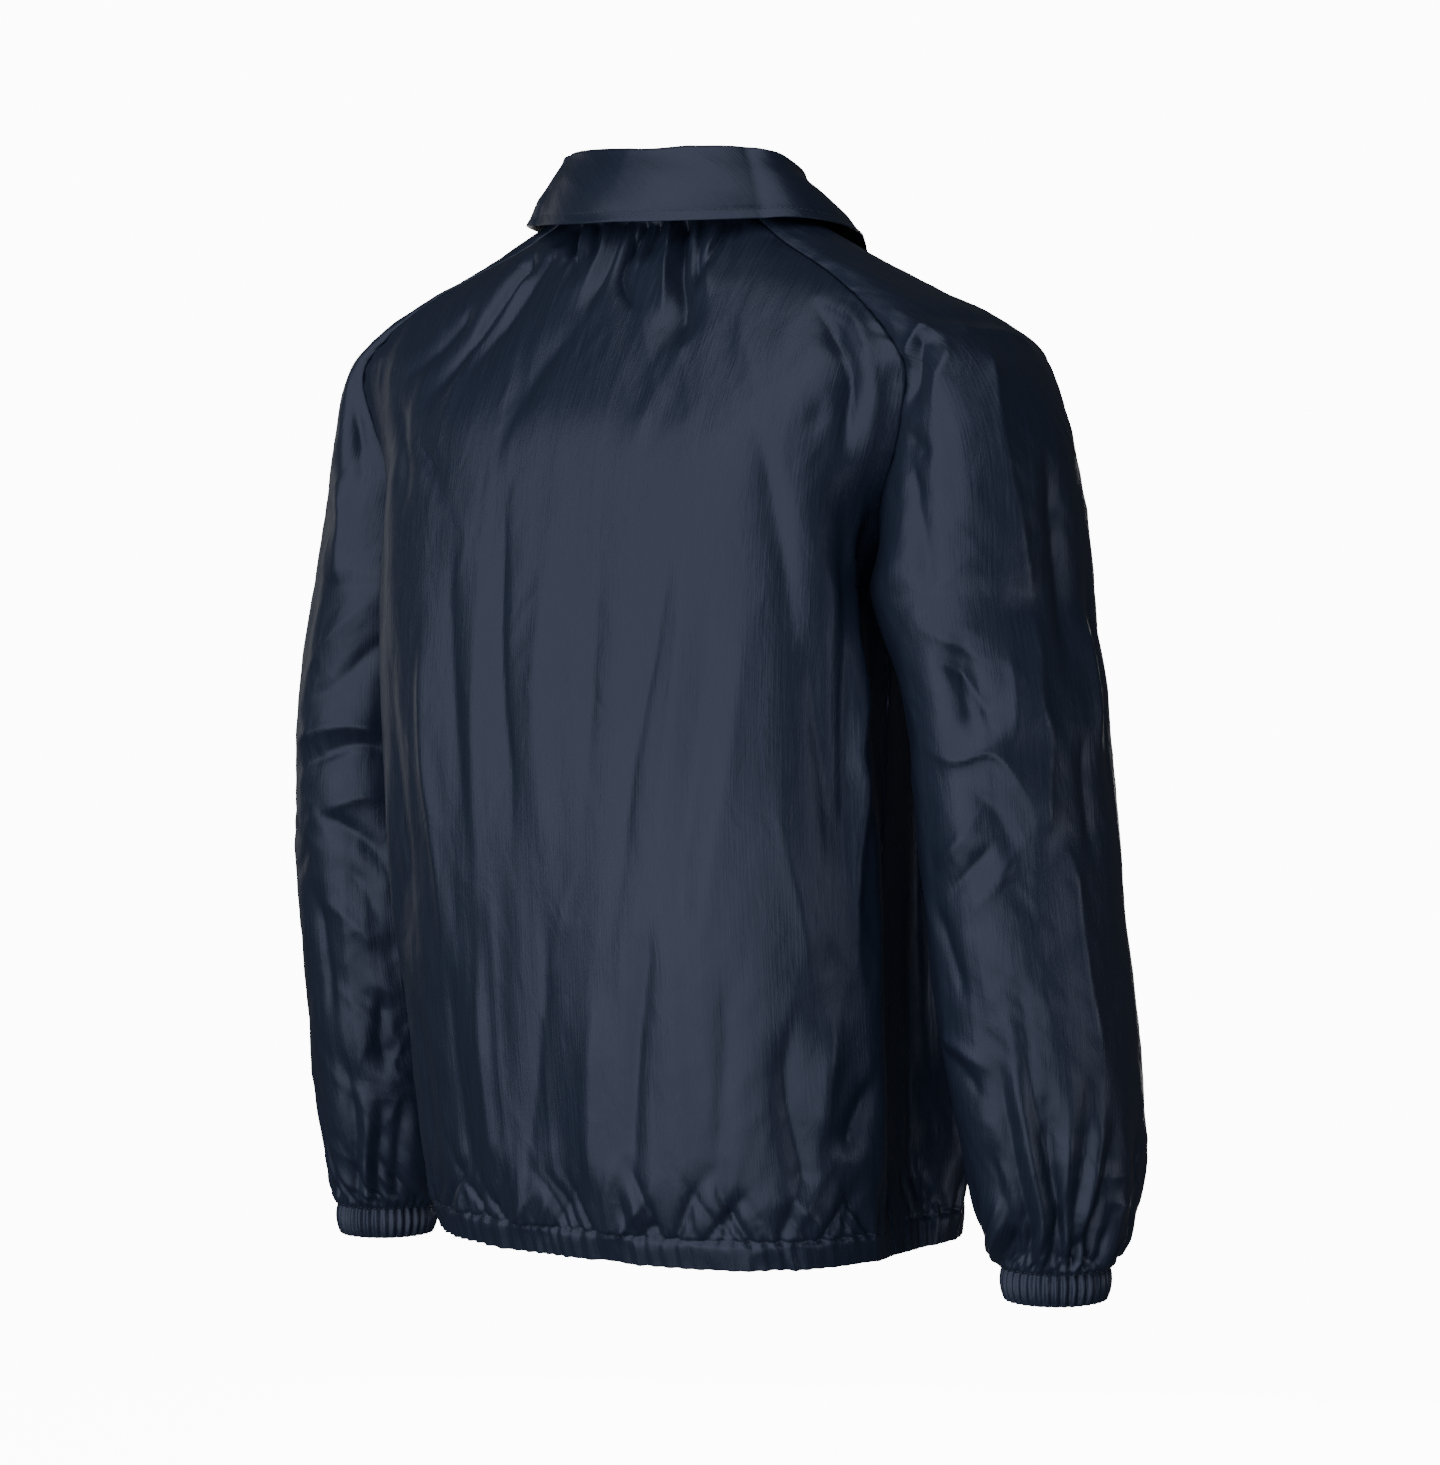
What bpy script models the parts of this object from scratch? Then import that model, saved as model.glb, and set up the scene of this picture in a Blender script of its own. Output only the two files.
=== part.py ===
"""Coach jacket in thin woven nylon, filled out as if worn, in metres with +Z up.

The wearer faces -Y and the wearer's left side is at +X. The origin is the middle of the
neck opening, at the height of the shoulder line beside the collar. Each cloth piece is a
wall of even thickness, worked out from rows across the piece: the body rows run from the
centre line out to the side or raglan seam, and the sleeve rows run round the arm.
"""

import math

import bpy
import numpy as np
from mathutils.kdtree import KDTree

# Cloth and seams
WALL = 0.0014
SEAM_HALF_GAP = 0.0002
SEAM_MATCH = 0.00005
FINGER_CLEAR = 0.0004

# Hem, cuffs and neck
HEM_CASING = 0.020
HEM_GATHERS = 32
HEM_GATHER_RUN = 0.050
HEM_GATHER_DEPTH = 0.0017
CUFF_HEIGHT = 0.021
CUFF_GATHERS = 24
CUFF_GATHER_DEPTH = 0.0014
PUFF_WAVES = 9
PUFF_DEPTH = 0.0022
NECK_GATHERS = 12
NECK_GATHER_DEPTH = 0.0034

# Front opening
OVERLAP_HALF = 0.015
OVERLAP_FADE = 0.030
SNAP_RADIUS = 0.0072
SNAP_RIM = 0.0012
SNAP_HEIGHT = 0.0024
SNAP_LEVELS = (0.10, 0.42, 0.74, 1.12, 1.80)

NAVY = (0.021, 0.030, 0.058, 1.0)
SNAP_NAVY = (0.030, 0.040, 0.072, 1.0)


class Sections:
    """A short table with named columns, read between its rows along smooth curves.

    The columns named in corner_columns turn a corner at the key given as corner.
    """

    def __init__(self, names, *rows, corner=None, corner_columns=()):
        table = np.array(rows, float)
        self.keys = table[:, 0]
        self.columns = dict(zip(names[1:], table[:, 1:].T))
        self.slopes = {}
        for name, values in self.columns.items():
            steps = np.gradient(values, self.keys)
            leaving, arriving = steps[:-1].copy(), steps[1:].copy()
            if name in corner_columns:
                k = int(np.searchsorted(self.keys, corner))
                arriving[k - 1] = (values[k] - values[k - 1]) / (self.keys[k] - self.keys[k - 1])
                leaving[k] = (values[k + 1] - values[k]) / (self.keys[k + 1] - self.keys[k])
            self.slopes[name] = leaving, arriving

    def read(self, name, key):
        keys, values = self.keys, self.columns[name]
        leaving, arriving = self.slopes[name]
        i = np.clip(np.searchsorted(keys, key, side="right") - 1, 0, len(keys) - 2)
        span = keys[i + 1] - keys[i]
        s = (key - keys[i]) / span
        rise = s * s * (3 - 2 * s)
        return (
            values[i] * (1 - rise)
            + values[i + 1] * rise
            + span * leaving[i] * s * (1 - s) ** 2
            - span * arriving[i] * s * s * (1 - s)
        )


# Level 0 is the hem, 1 the underarm and 2 the neck. A row runs from the centre line to
# seam_x and seam_y, which are given before the dent that the arm presses into the side.
BODY_COLUMNS = (
    "level", "z_centre", "z_seam", "seam_x", "seam_y",
    "middle_y", "depth", "squareness", "dent", "dent_start", "dent_edge",
)
UNDERARM_CORNER = ("z_seam", "seam_x", "seam_y", "dent")
BACK = Sections(
    BODY_COLUMNS,
    (0.00, -0.709, -0.709, 0.174, 0.012, 0.012, 0.130, 2.7, 0.04, 78, 12),
    (0.08, -0.674, -0.674, 0.182, 0.012, 0.012, 0.142, 2.6, 0.12, 78, 12),
    (0.25, -0.5995, -0.5995, 0.190, 0.013, 0.013, 0.153, 2.6, 0.18, 76, 13),
    (0.55, -0.4665, -0.4665, 0.196, 0.015, 0.015, 0.162, 2.8, 0.20, 73, 14),
    (0.80, -0.355, -0.355, 0.200, 0.018, 0.018, 0.160, 3.0, 0.19, 69, 15),
    (1.00, -0.265, -0.265, 0.204, 0.020, 0.020, 0.150, 3.2, 0.165, 62, 17),
    (1.20, -0.205, -0.218, 0.2085, 0.070, 0.020, 0.143, 3.1, 0.100, 56, 22),
    (1.40, -0.142, -0.158, 0.2200, 0.084, 0.020, 0.128, 2.6, 0.020, 46, 26),
    (1.50, -0.108, -0.122, 0.2230, 0.087, 0.020, 0.110, 2.4, 0.00, 46, 26),
    (1.62, -0.084, -0.096, 0.2050, 0.084, 0.020, 0.096, 2.3, 0.00, 66, 26),
    (1.75, -0.060, -0.070, 0.1720, 0.074, 0.020, 0.082, 2.2, 0.00, 66, 26),
    (1.85, -0.043, -0.052, 0.1390, 0.063, 0.020, 0.072, 2.1, 0.00, 66, 26),
    (1.93, -0.027, -0.033, 0.1010, 0.054, 0.020, 0.063, 2.0, 0.00, 66, 26),
    (2.00, -0.014, -0.010, 0.0680, 0.047, 0.020, 0.054, 2.0, 0.00, 66, 26),
    corner=1.0, corner_columns=UNDERARM_CORNER,
)
FRONT = Sections(
    BODY_COLUMNS,
    (0.00, -0.709, -0.709, 0.174, 0.012, 0.012, 0.148, 3.2, 0.04, 66, 12),
    (0.08, -0.674, -0.674, 0.182, 0.012, 0.012, 0.150, 3.0, 0.12, 65, 12),
    (0.25, -0.5995, -0.5995, 0.190, 0.013, 0.013, 0.150, 2.8, 0.18, 64, 13),
    (0.55, -0.4665, -0.4665, 0.196, 0.015, 0.015, 0.146, 2.8, 0.20, 62, 14),
    (0.80, -0.355, -0.355, 0.200, 0.018, 0.018, 0.140, 2.8, 0.19, 60, 15),
    (1.00, -0.265, -0.265, 0.204, 0.020, 0.020, 0.134, 3.0, 0.165, 58, 17),
    (1.20, -0.215, -0.215, 0.2060, -0.028, 0.020, 0.132, 3.0, 0.120, 50, 22),
    (1.40, -0.168, -0.150, 0.2080, -0.050, 0.016, 0.122, 2.6, 0.040, 46, 26),
    (1.50, -0.146, -0.115, 0.2050, -0.057, 0.012, 0.113, 2.4, 0.00, 46, 26),
    (1.62, -0.126, -0.095, 0.1880, -0.058, 0.008, 0.102, 2.3, 0.00, 66, 26),
    (1.75, -0.108, -0.073, 0.1560, -0.051, 0.004, 0.089, 2.2, 0.00, 66, 26),
    (1.85, -0.095, -0.055, 0.1270, -0.042, 0.002, 0.079, 2.1, 0.00, 66, 26),
    (1.93, -0.084, -0.037, 0.0960, -0.031, 0.002, 0.070, 2.0, 0.00, 66, 26),
    (2.00, -0.073, -0.018, 0.0720, -0.018, 0.004, 0.061, 2.0, 0.00, 66, 26),
    corner=1.0, corner_columns=UNDERARM_CORNER,
)

# Below level 1 a sleeve row is a closed ring; above it the row runs from the back raglan
# seam over the arm to the front one, and open_angle is how far round it starts. The last
# three columns move the outer line of the left sleeve, which hangs closer and lower.
SLEEVE = Sections(
    ("level", "outer_x", "outer_y", "outer_z", "inner_x", "ring_depth", "open_angle",
     "left_x", "left_y", "left_z"),
    (0.00, 0.3110, -0.015, -0.710, 0.2410, 0.037, 0, 0.013, 0.000, -0.009),
    (0.035, 0.3180, -0.015, -0.695, 0.2360, 0.045, 0, 0.009, 0.000, -0.007),
    (0.08, 0.3245, -0.015, -0.676, 0.2275, 0.055, 0, 0.006, 0.000, -0.005),
    (0.18, 0.3300, -0.013, -0.632, 0.2190, 0.067, 0, 0.002, 0.000, -0.002),
    (0.34, 0.3300, -0.006, -0.560, 0.2095, 0.075, 0, 0.000, 0.000, 0.000),
    (0.53, 0.3250, 0.006, -0.477, 0.2040, 0.077, 0, 0.001, 0.000, 0.000),
    (0.70, 0.3210, 0.013, -0.400, 0.2005, 0.078, 0, 0.000, 0.000, 0.000),
    (0.86, 0.3150, 0.016, -0.330, 0.1925, 0.080, 0, -0.001, -0.001, 0.000),
    (1.00, 0.3070, 0.020, -0.265, 0.1703, 0.082, 0, -0.006, -0.006, 0.000),
    (1.20, 0.3030, 0.022, -0.200, 0.1703, 0.083, 34, -0.021, -0.012, -0.004),
    (1.40, 0.2900, 0.025, -0.141, 0.1703, 0.083, 56, -0.028, -0.016, -0.009),
    (1.50, 0.2750, 0.027, -0.113, 0.1703, 0.081, 66, -0.028, -0.018, -0.009),
    (1.62, 0.2460, 0.028, -0.088, 0.1703, 0.077, 77, -0.022, -0.012, -0.009),
    (1.75, 0.2000, 0.028, -0.067, 0.1703, 0.065, 91, -0.010, -0.006, -0.009),
    (1.85, 0.1580, 0.027, -0.047, 0.1703, 0.055, 103, -0.004, -0.002, -0.007),
    (1.93, 0.1200, 0.025, -0.028, 0.1703, 0.046, 110, 0.000, 0.000, -0.003),
    (2.00, 0.0870, 0.022, -0.010, 0.1703, 0.037, 115, 0.000, 0.000, 0.000),
)

# The largest folds. A body fold runs from (x0, z0) to (x1, z1) on the wall, and a sleeve
# fold from (turn0, z0) to (turn1, z1), where turn is the share of the way round the arm
# from the back seam. height is negative for a trough.
FOLD_COLUMNS = ("across0", "z0", "across1", "z1", "half_width", "height")
BACK_FOLDS = (
    (-0.075, -0.050, -0.150, -0.170, 0.012, 0.0050),
    (-0.120, -0.075, -0.178, -0.300, 0.014, -0.0060),
    (0.085, -0.065, 0.165, -0.160, 0.011, -0.0075),
    (0.110, -0.060, 0.190, -0.150, 0.012, 0.0050),
    (0.060, -0.110, 0.150, -0.270, 0.014, -0.0045),
    (-0.010, -0.060, 0.000, -0.120, 0.010, -0.0050),
    (-0.120, -0.300, -0.110, -0.640, 0.022, 0.0055),
    (-0.060, -0.200, -0.040, -0.620, 0.020, -0.0045),
    (-0.010, -0.240, 0.030, -0.650, 0.024, 0.0050),
    (0.055, -0.220, 0.085, -0.640, 0.020, -0.0050),
    (0.120, -0.260, 0.130, -0.660, 0.024, 0.0050),
    (-0.150, -0.240, -0.160, -0.660, 0.014, -0.0055),
)
FRONT_FOLDS = (
    (0.060, -0.110, 0.150, -0.210, 0.016, -0.0050),
    (0.100, -0.090, 0.170, -0.190, 0.014, 0.0045),
    (0.090, -0.250, 0.075, -0.640, 0.022, 0.0055),
    (0.130, -0.300, 0.125, -0.650, 0.018, -0.0050),
    (0.050, -0.200, 0.048, -0.560, 0.018, -0.0040),
)
NEAR_SLEEVE_FOLDS = (
    (0.16, -0.120, 0.10, -0.215, 0.012, 0.0085),
    (0.24, -0.150, 0.26, -0.360, 0.016, -0.0060),
    (0.14, -0.250, 0.18, -0.420, 0.016, 0.0065),
    (0.10, -0.420, 0.30, -0.440, 0.018, -0.0075),
    (0.24, -0.470, 0.22, -0.680, 0.014, -0.0055),
    (0.36, -0.300, 0.37, -0.660, 0.016, 0.0055),
    (0.55, -0.380, 0.85, -0.410, 0.016, -0.0070),
    (0.62, -0.460, 0.80, -0.500, 0.014, -0.0055),
    (0.66, -0.180, 0.70, -0.340, 0.016, 0.0050),
)
FAR_SLEEVE_FOLDS = (
    (0.20, -0.130, 0.14, -0.300, 0.014, -0.0050),
    (0.06, -0.375, 0.34, -0.398, 0.014, 0.0060),
    (0.06, -0.398, 0.30, -0.420, 0.012, -0.0085),
    (0.10, -0.470, 0.28, -0.455, 0.014, 0.0060),
    (0.12, -0.500, 0.24, -0.560, 0.014, -0.0060),
    (0.30, -0.580, 0.26, -0.690, 0.014, 0.0050),
    (0.55, -0.390, 0.85, -0.420, 0.016, -0.0070),
    (0.62, -0.470, 0.80, -0.500, 0.014, -0.0055),
    (0.66, -0.180, 0.70, -0.340, 0.016, 0.0050),
)
FOLD_END = 0.035
SEAM_CALM = 0.022
BODY_HALF_WIDTH = 0.20
SLEEVE_GIRTH = 0.46

# The collar's stand rises from the neckline to a fold, and its fall hangs outside it.
# turn is 0 at the centre back and 1 at the centre front.
COLLAR = Sections(
    ("turn", "rise", "lean", "drop", "flare", "spread"),
    (0.00, 0.0430, 0.010, 0.0500, 0.018, 0.000),
    (0.25, 0.0400, 0.006, 0.0490, 0.023, 0.000),
    (0.48, 0.0300, 0.001, 0.0410, 0.038, 0.000),
    (0.70, 0.0300, 0.004, 0.0410, 0.042, 0.004),
    (0.88, 0.0310, 0.008, 0.0520, 0.036, 0.014),
    (1.00, 0.0310, 0.010, 0.0620, 0.029, 0.034),
)
COLLAR_END_TURN = 0.985
COLLAR_MIDDLE_Y = 0.012
FOLD_RADIUS = 0.0034

# Rows of points
BODY_LEVELS = (0.0, 0.026, 0.058, 0.11, 0.19, 0.29, 0.40, 0.51, 0.62, 0.73, 0.83, 0.92, 1.0)
YOKE_LEVELS = (1.09, 1.19, 1.29, 1.38, 1.46, 1.54, 1.62, 1.71, 1.80, 1.88, 1.94, 2.0)
ARM_LEVELS = (0.0, 0.022, 0.055, 0.11, 0.19, 0.29, 0.39, 0.49, 0.58, 0.67, 0.77, 0.88, 1.0)
BODY_CELLS = 32
SLEEVE_CELLS = 22
POINTS_PER_GATHER = 3
GATHERED_ROWS = 3
COLLAR_STATIONS = 31


def smooth(value):
    value = np.clip(value, 0.0, 1.0)
    return value * value * (3 - 2 * value)


def body_base(sections, face, share, level):
    """The body's outer face without folds. face is 1 at the back and -1 at the front."""
    share, level = np.broadcast_arrays(np.asarray(share, float), np.asarray(level, float))
    row = {name: sections.read(name, level) for name in sections.columns}
    power = row["squareness"]
    seam_depth = np.clip(face * (row["seam_y"] - row["middle_y"]) / row["depth"], 0, 0.98)
    width = row["seam_x"] / (1 - seam_depth**power) ** (1 / power)
    end = np.arctan2(row["seam_x"], face * (row["seam_y"] - row["middle_y"]))
    angle = np.abs(share) * end
    sine, cosine = np.sin(angle), np.abs(np.cos(angle))
    reach = ((sine / width) ** power + (cosine / row["depth"]) ** power) ** (-1 / power)
    reach = reach * (1 - row["dent"] * smooth((np.degrees(angle) - row["dent_start"]) / row["dent_edge"]))
    z = row["z_centre"] + (row["z_seam"] - row["z_centre"]) * share**2
    return np.stack(
        [np.sign(share) * reach * sine, row["middle_y"] + face * reach * np.cos(angle), z], -1
    )


def sleeve_base(side, turn, level):
    """The sleeve's outer face without folds. turn runs from the back seam to the front one."""
    turn, level = np.broadcast_arrays(np.asarray(turn, float), np.asarray(level, float))
    row = {name: SLEEVE.read(name, level) for name in SLEEVE.columns}
    apex = np.stack([row["outer_x"], row["outer_y"], row["outer_z"]], -1)
    inner = np.stack([row["inner_x"], row["outer_y"], row["outer_z"]], -1)
    if side > 0:
        shift = np.stack([row["left_x"], row["left_y"], row["left_z"]], -1)
        apex = apex + shift
        inner = inner + shift * smooth((0.5 - level) / 0.4)[..., None]
    yoke = np.maximum(level, 1.0)
    back_seam = body_base(BACK, 1, 1.0, yoke)
    front_seam = body_base(FRONT, -1, 1.0, yoke)
    above = (level > 1.0)[..., None]
    back = np.where(above, back_seam, inner)
    front = np.where(above, front_seam, inner)
    middle = (back + front) / 2
    across = np.where(above, back - front, np.array([0.0, 1.0, 0.0]))
    across = across / np.maximum(np.linalg.norm(across, axis=-1, keepdims=True), 1e-9)
    outward = apex - middle
    start = np.radians(row["open_angle"])[..., None]
    radius = outward / (1 + np.cos(start))
    depth = row["ring_depth"][..., None] * across
    angle = start + turn[..., None] * (2 * math.pi - 2 * start)
    centre = middle + radius * np.cos(start)
    point = centre - radius * np.cos(angle) + depth * np.sin(angle)
    first = centre - radius * np.cos(start) + depth * np.sin(start)
    last = centre - radius * np.cos(start) - depth * np.sin(start)
    hold = turn[..., None]
    point = point + (back - first) * (1 - smooth(2 * hold)) + (front - last) * smooth(2 * hold - 1)
    return point * np.array([side, 1.0, 1.0])


def fold_heights(folds, across, z, metres_per_across):
    """Sum of the folds' heights at (across, z), each a soft ridge or trough with tapered ends."""
    total = np.zeros_like(z)
    for row in folds:
        fold = dict(zip(FOLD_COLUMNS, row))
        run = np.array([(fold["across1"] - fold["across0"]), fold["z1"] - fold["z0"]])
        here_a = (across - fold["across0"]) * metres_per_across
        here_z = z - fold["z0"]
        run_a = run[0] * metres_per_across
        length = np.sqrt(run_a**2 + run[1] ** 2)
        along = (here_a * run_a + here_z * run[1]) / length
        aside = (here_a * run[1] - here_z * run_a) / length
        taper = smooth(1 + along / FOLD_END) * smooth(1 + (length - along) / FOLD_END)
        total = total + fold["height"] * taper * np.exp(-((aside / fold["half_width"]) ** 2))
    return total


def pushed_out(surface, heights, share, level, outward_sign):
    """Points of surface(share, level) moved along its own normal by heights."""
    step = 1e-4
    across = surface(share + step, level) - surface(share - step, level)
    up = surface(share, np.minimum(level + step, 2.0)) - surface(share, level - step)
    normal = np.cross(across, up) * outward_sign
    normal = normal / np.maximum(np.linalg.norm(normal, axis=-1, keepdims=True), 1e-12)
    return surface(share, level) + normal * heights[..., None]


def hem_gathers(share, level):
    """Small pleats of the drawn-in hem, deepest at the casing's stitching."""
    height_above = BACK.read("z_centre", np.clip(level, 0, 1)) - BACK.columns["z_centre"][0]
    fade = 0.75 * smooth(1 - height_above / HEM_GATHER_RUN) + 0.25 * smooth(1 - height_above / HEM_CASING)
    wander = 0.35 * np.sin(7.0 * share + 1.0) + 0.25 * np.sin(17.0 * share)
    size = 0.65 + 0.35 * np.sin(5.0 * share + 2.0)
    wave = np.sin(2 * math.pi * HEM_GATHERS * (share + 1) / 2 + wander * (1 - share**2))
    return HEM_GATHER_DEPTH * fade * size * wave * smooth((1 - np.abs(share)) * 12)


def neck_gathers(share, level):
    """Gathers of the back where it is drawn in under the collar; they spread as they run down."""
    fade = smooth((2.0 - level) / 0.05) * smooth((level - 1.50) / 0.42)
    size = 0.7 + 0.3 * np.cos(9.0 * share + 0.6)
    wave = np.sin(math.pi * NECK_GATHERS * (share + 1) + 0.6 * np.sin(4 * share))
    return NECK_GATHER_DEPTH * fade * size * wave * smooth((1 - np.abs(share)) * 4)


def back_surface(share, level):
    def base(s, v):
        return body_base(BACK, 1, s, v)

    point = base(share, level)
    calm = smooth((1 - np.abs(share)) * BODY_HALF_WIDTH / SEAM_CALM)
    calm = calm * smooth((2.0 - level) / 0.10) * smooth((level + 0.02) / 0.12)
    heights = calm * fold_heights(BACK_FOLDS, point[..., 0], point[..., 2], 1.0)
    heights = heights + hem_gathers(share, level) + neck_gathers(share, level)
    return pushed_out(base, heights, share, level, -1)


def front_surface(side, share, level):
    """side is the half of the front, and share is negative past the centre line."""
    def base(s, v):
        return body_base(FRONT, -1, side * s, v)

    point = base(share, level)
    x = side * point[..., 0]
    calm = smooth((1 - np.abs(share)) * BODY_HALF_WIDTH / SEAM_CALM) * smooth((x - 0.02) / 0.02)
    calm = calm * smooth((2.0 - level) / 0.10) * smooth((level + 0.02) / 0.12)
    heights = calm * fold_heights(FRONT_FOLDS, x, point[..., 2], 1.0)
    edge_calm = smooth((x - OVERLAP_HALF) / OVERLAP_FADE)
    heights = heights + hem_gathers(share * 0.5 + 0.5, level) * edge_calm
    if side > 0:
        heights = heights + (WALL + FINGER_CLEAR) * (1 - edge_calm)
    return pushed_out(base, heights, share, level, side)


def cuff_waves(turn, fade):
    size = 0.75 + 0.25 * np.cos(2 * math.pi * 3 * turn + 1.0)
    return CUFF_GATHER_DEPTH * fade * size * np.cos(2 * math.pi * CUFF_GATHERS * turn)


def sleeve_surface(side, turn, level):
    def base(s, v):
        return sleeve_base(side, s, v)

    folds = NEAR_SLEEVE_FOLDS if side < 0 else FAR_SLEEVE_FOLDS
    point = base(turn, level)
    above = np.clip(level - 1.0, 0, 1)
    seam_distance = np.minimum(turn, 1 - turn) * SLEEVE_GIRTH
    calm = np.where(above > 0, smooth(seam_distance / SEAM_CALM), 1.0)
    calm = calm * smooth((2.0 - level) / 0.10) * smooth((level - 0.01) / 0.08)
    heights = calm * fold_heights(folds, turn, point[..., 2], SLEEVE_GIRTH)
    heights = heights + cuff_waves(turn, smooth(1 - level / 0.10))
    puff = smooth(1 - level / 0.16) * smooth(level / 0.05)
    heights = heights + PUFF_DEPTH * puff * np.cos(2 * math.pi * PUFF_WAVES * turn + 0.7)
    return pushed_out(base, heights, turn, level, -side)


def cuff_surface(side, turn, drop):
    """The elastic casing below the sleeve. drop is 0 at the sleeve and 1 at the opening."""
    top = sleeve_surface(side, turn, np.zeros_like(turn))
    centre = (sleeve_base(side, 0.0, 0.0) + sleeve_base(side, 0.5, 0.0)) / 2
    radial = (top - centre) * np.array([1.0, 1.0, 0.0])
    radial = radial / np.linalg.norm(radial, axis=-1, keepdims=True)
    barrel = 0.0010 * np.sin(math.pi * drop) - 0.0022 * drop**2
    waves = cuff_waves(turn, -0.35 * drop)
    return top + radial * (waves + barrel)[..., None] - np.array([0.0, 0.0, CUFF_HEIGHT]) * drop[..., None]


class Sheet:
    """Outer points of one cloth piece, in rows that may hold different numbers of points."""

    def __init__(self, name):
        self.name = name
        self.points = []
        self.faces = []
        self.last_row = None

    def add_row(self, points, shares, closed=False):
        first = len(self.points)
        count = len(points) - 1 if closed else len(points)
        self.points.extend(points[:count])
        ids = [first + i for i in range(count)]
        if closed:
            ids.append(first)
        row = (ids, list(shares))
        if self.last_row is not None:
            self.zip_rows(self.last_row, row)
        self.last_row = row

    def zip_rows(self, lower, upper):
        (low, low_shares), (high, high_shares) = lower, upper
        i = j = 0
        while i < len(low) - 1 or j < len(high) - 1:
            next_low = low_shares[i + 1] if i < len(low) - 1 else math.inf
            next_high = high_shares[j + 1] if j < len(high) - 1 else math.inf
            if next_low < next_high or (next_low == next_high and (i + j) % 2 == 0):
                self.faces.append((low[i], low[i + 1], high[j]))
                i += 1
            else:
                self.faces.append((low[i], high[j + 1], high[j]))
                j += 1

    def finish(self, flip):
        self.points = np.array(self.points)
        faces = np.array([f for f in self.faces if len(set(f)) == 3])
        self.faces = faces[:, ::-1] if flip else faces
        corners = self.points[self.faces]
        weights = np.cross(corners[:, 1] - corners[:, 0], corners[:, 2] - corners[:, 0])
        self.normals = np.zeros_like(self.points)
        for k in range(3):
            np.add.at(self.normals, self.faces[:, k], weights)
        self.normals /= np.linalg.norm(self.normals, axis=1, keepdims=True)
        edges = {}
        for a, b, c in self.faces:
            for edge in ((a, b), (b, c), (c, a)):
                edges[edge] = True
        self.rim = [e for e in edges if (e[1], e[0]) not in edges]
        return self


def part_seams(sheets):
    """Parts pieces by the seam gap where they share seam points, and mitres their walls there.

    Where two pieces meet in a valley, as under the arm, each wall keeps its own thickness
    direction. Where they meet flat or in a ridge, both walls share one direction.
    """
    rims = [(sheet, i) for sheet in sheets for i in sorted({v for edge in sheet.rim for v in edge})]
    tree = KDTree(len(rims))
    for number, (sheet, i) in enumerate(rims):
        tree.insert(sheet.points[i], number)
    tree.balance()
    into = [into_cloth(sheet, i) for sheet, i in rims]
    moves = []
    for number, (sheet, i) in enumerate(rims):
        found = {hit[1] for hit in tree.find_range(sheet.points[i], SEAM_MATCH)} - {number}
        if not found:
            continue
        own, own_into = sheet.normals[i], into[number]
        other = unit(sum(rims[k][0].normals[rims[k][1]] for k in found))
        other_into = unit(sum(into[k] for k in found))
        apart = own_into - other_into
        if own @ other_into + other @ own_into > 0:
            moves.append((sheet, i, own, unit(apart - own + other)))
        else:
            moves.append((sheet, i, unit(own + other), unit(apart)))
    for sheet, i, normal, apart in moves:
        sheet.normals[i] = normal
        sheet.points[i] = sheet.points[i] + apart * SEAM_HALF_GAP


def unit(vector):
    return vector / np.linalg.norm(vector)


def into_cloth(sheet, i):
    """Direction from a rim point into its own piece."""
    rim_ends = {a if b == i else b for a, b in sheet.rim if i in (a, b)}
    touching = sheet.faces[(sheet.faces == i).any(axis=1)]
    inner = set(touching.ravel()) - {i} - rim_ends
    return unit(sheet.points[list(inner or rim_ends)].mean(axis=0) - sheet.points[i])


def cloth_material(name, colour, roughness):
    material = bpy.data.materials.new(name)
    material.use_nodes = True
    shader = material.node_tree.nodes["Principled BSDF"]
    shader.inputs["Base Color"].default_value = colour
    shader.inputs["Roughness"].default_value = roughness
    shader.inputs["Metallic"].default_value = 0.0
    material.diffuse_color = colour
    return material


def add_solid(name, points, faces, material):
    mesh = bpy.data.meshes.new(name)
    mesh.from_pydata([tuple(p) for p in points], [], [tuple(int(i) for i in f) for f in faces])
    mesh.update()
    mesh.shade_smooth()
    mesh.set_sharp_from_angle(angle=math.radians(50))
    mesh.materials.append(material)
    solid = bpy.data.objects.new(name, mesh)
    bpy.context.scene.collection.objects.link(solid)
    return solid


def add_wall(sheet, material):
    """The cloth wall: the sheet's face, the same face WALL further in, and the rim between."""
    count = len(sheet.points)
    inner = sheet.points - sheet.normals * WALL
    faces = [tuple(f) for f in sheet.faces] + [tuple(f[::-1] + count) for f in sheet.faces]
    faces += [(b, a, a + count) for a, b in sheet.rim] + [(b, a + count, b + count) for a, b in sheet.rim]
    add_solid(sheet.name, np.vstack([sheet.points, inner]), faces, material)


def spread_rows(sheet, levels, dense_rows, dense_cells, cells, surface, closed_to=None):
    """Adds one row for each level; dense_rows maps a row's number to its own cell count."""
    for number, level in enumerate(levels):
        count = dense_rows.get(number, cells)
        shares = np.linspace(0.0, 1.0, count + 1)
        closed = closed_to is not None and level <= closed_to
        sheet.add_row(surface(shares, np.full(count + 1, level)), shares, closed)


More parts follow.
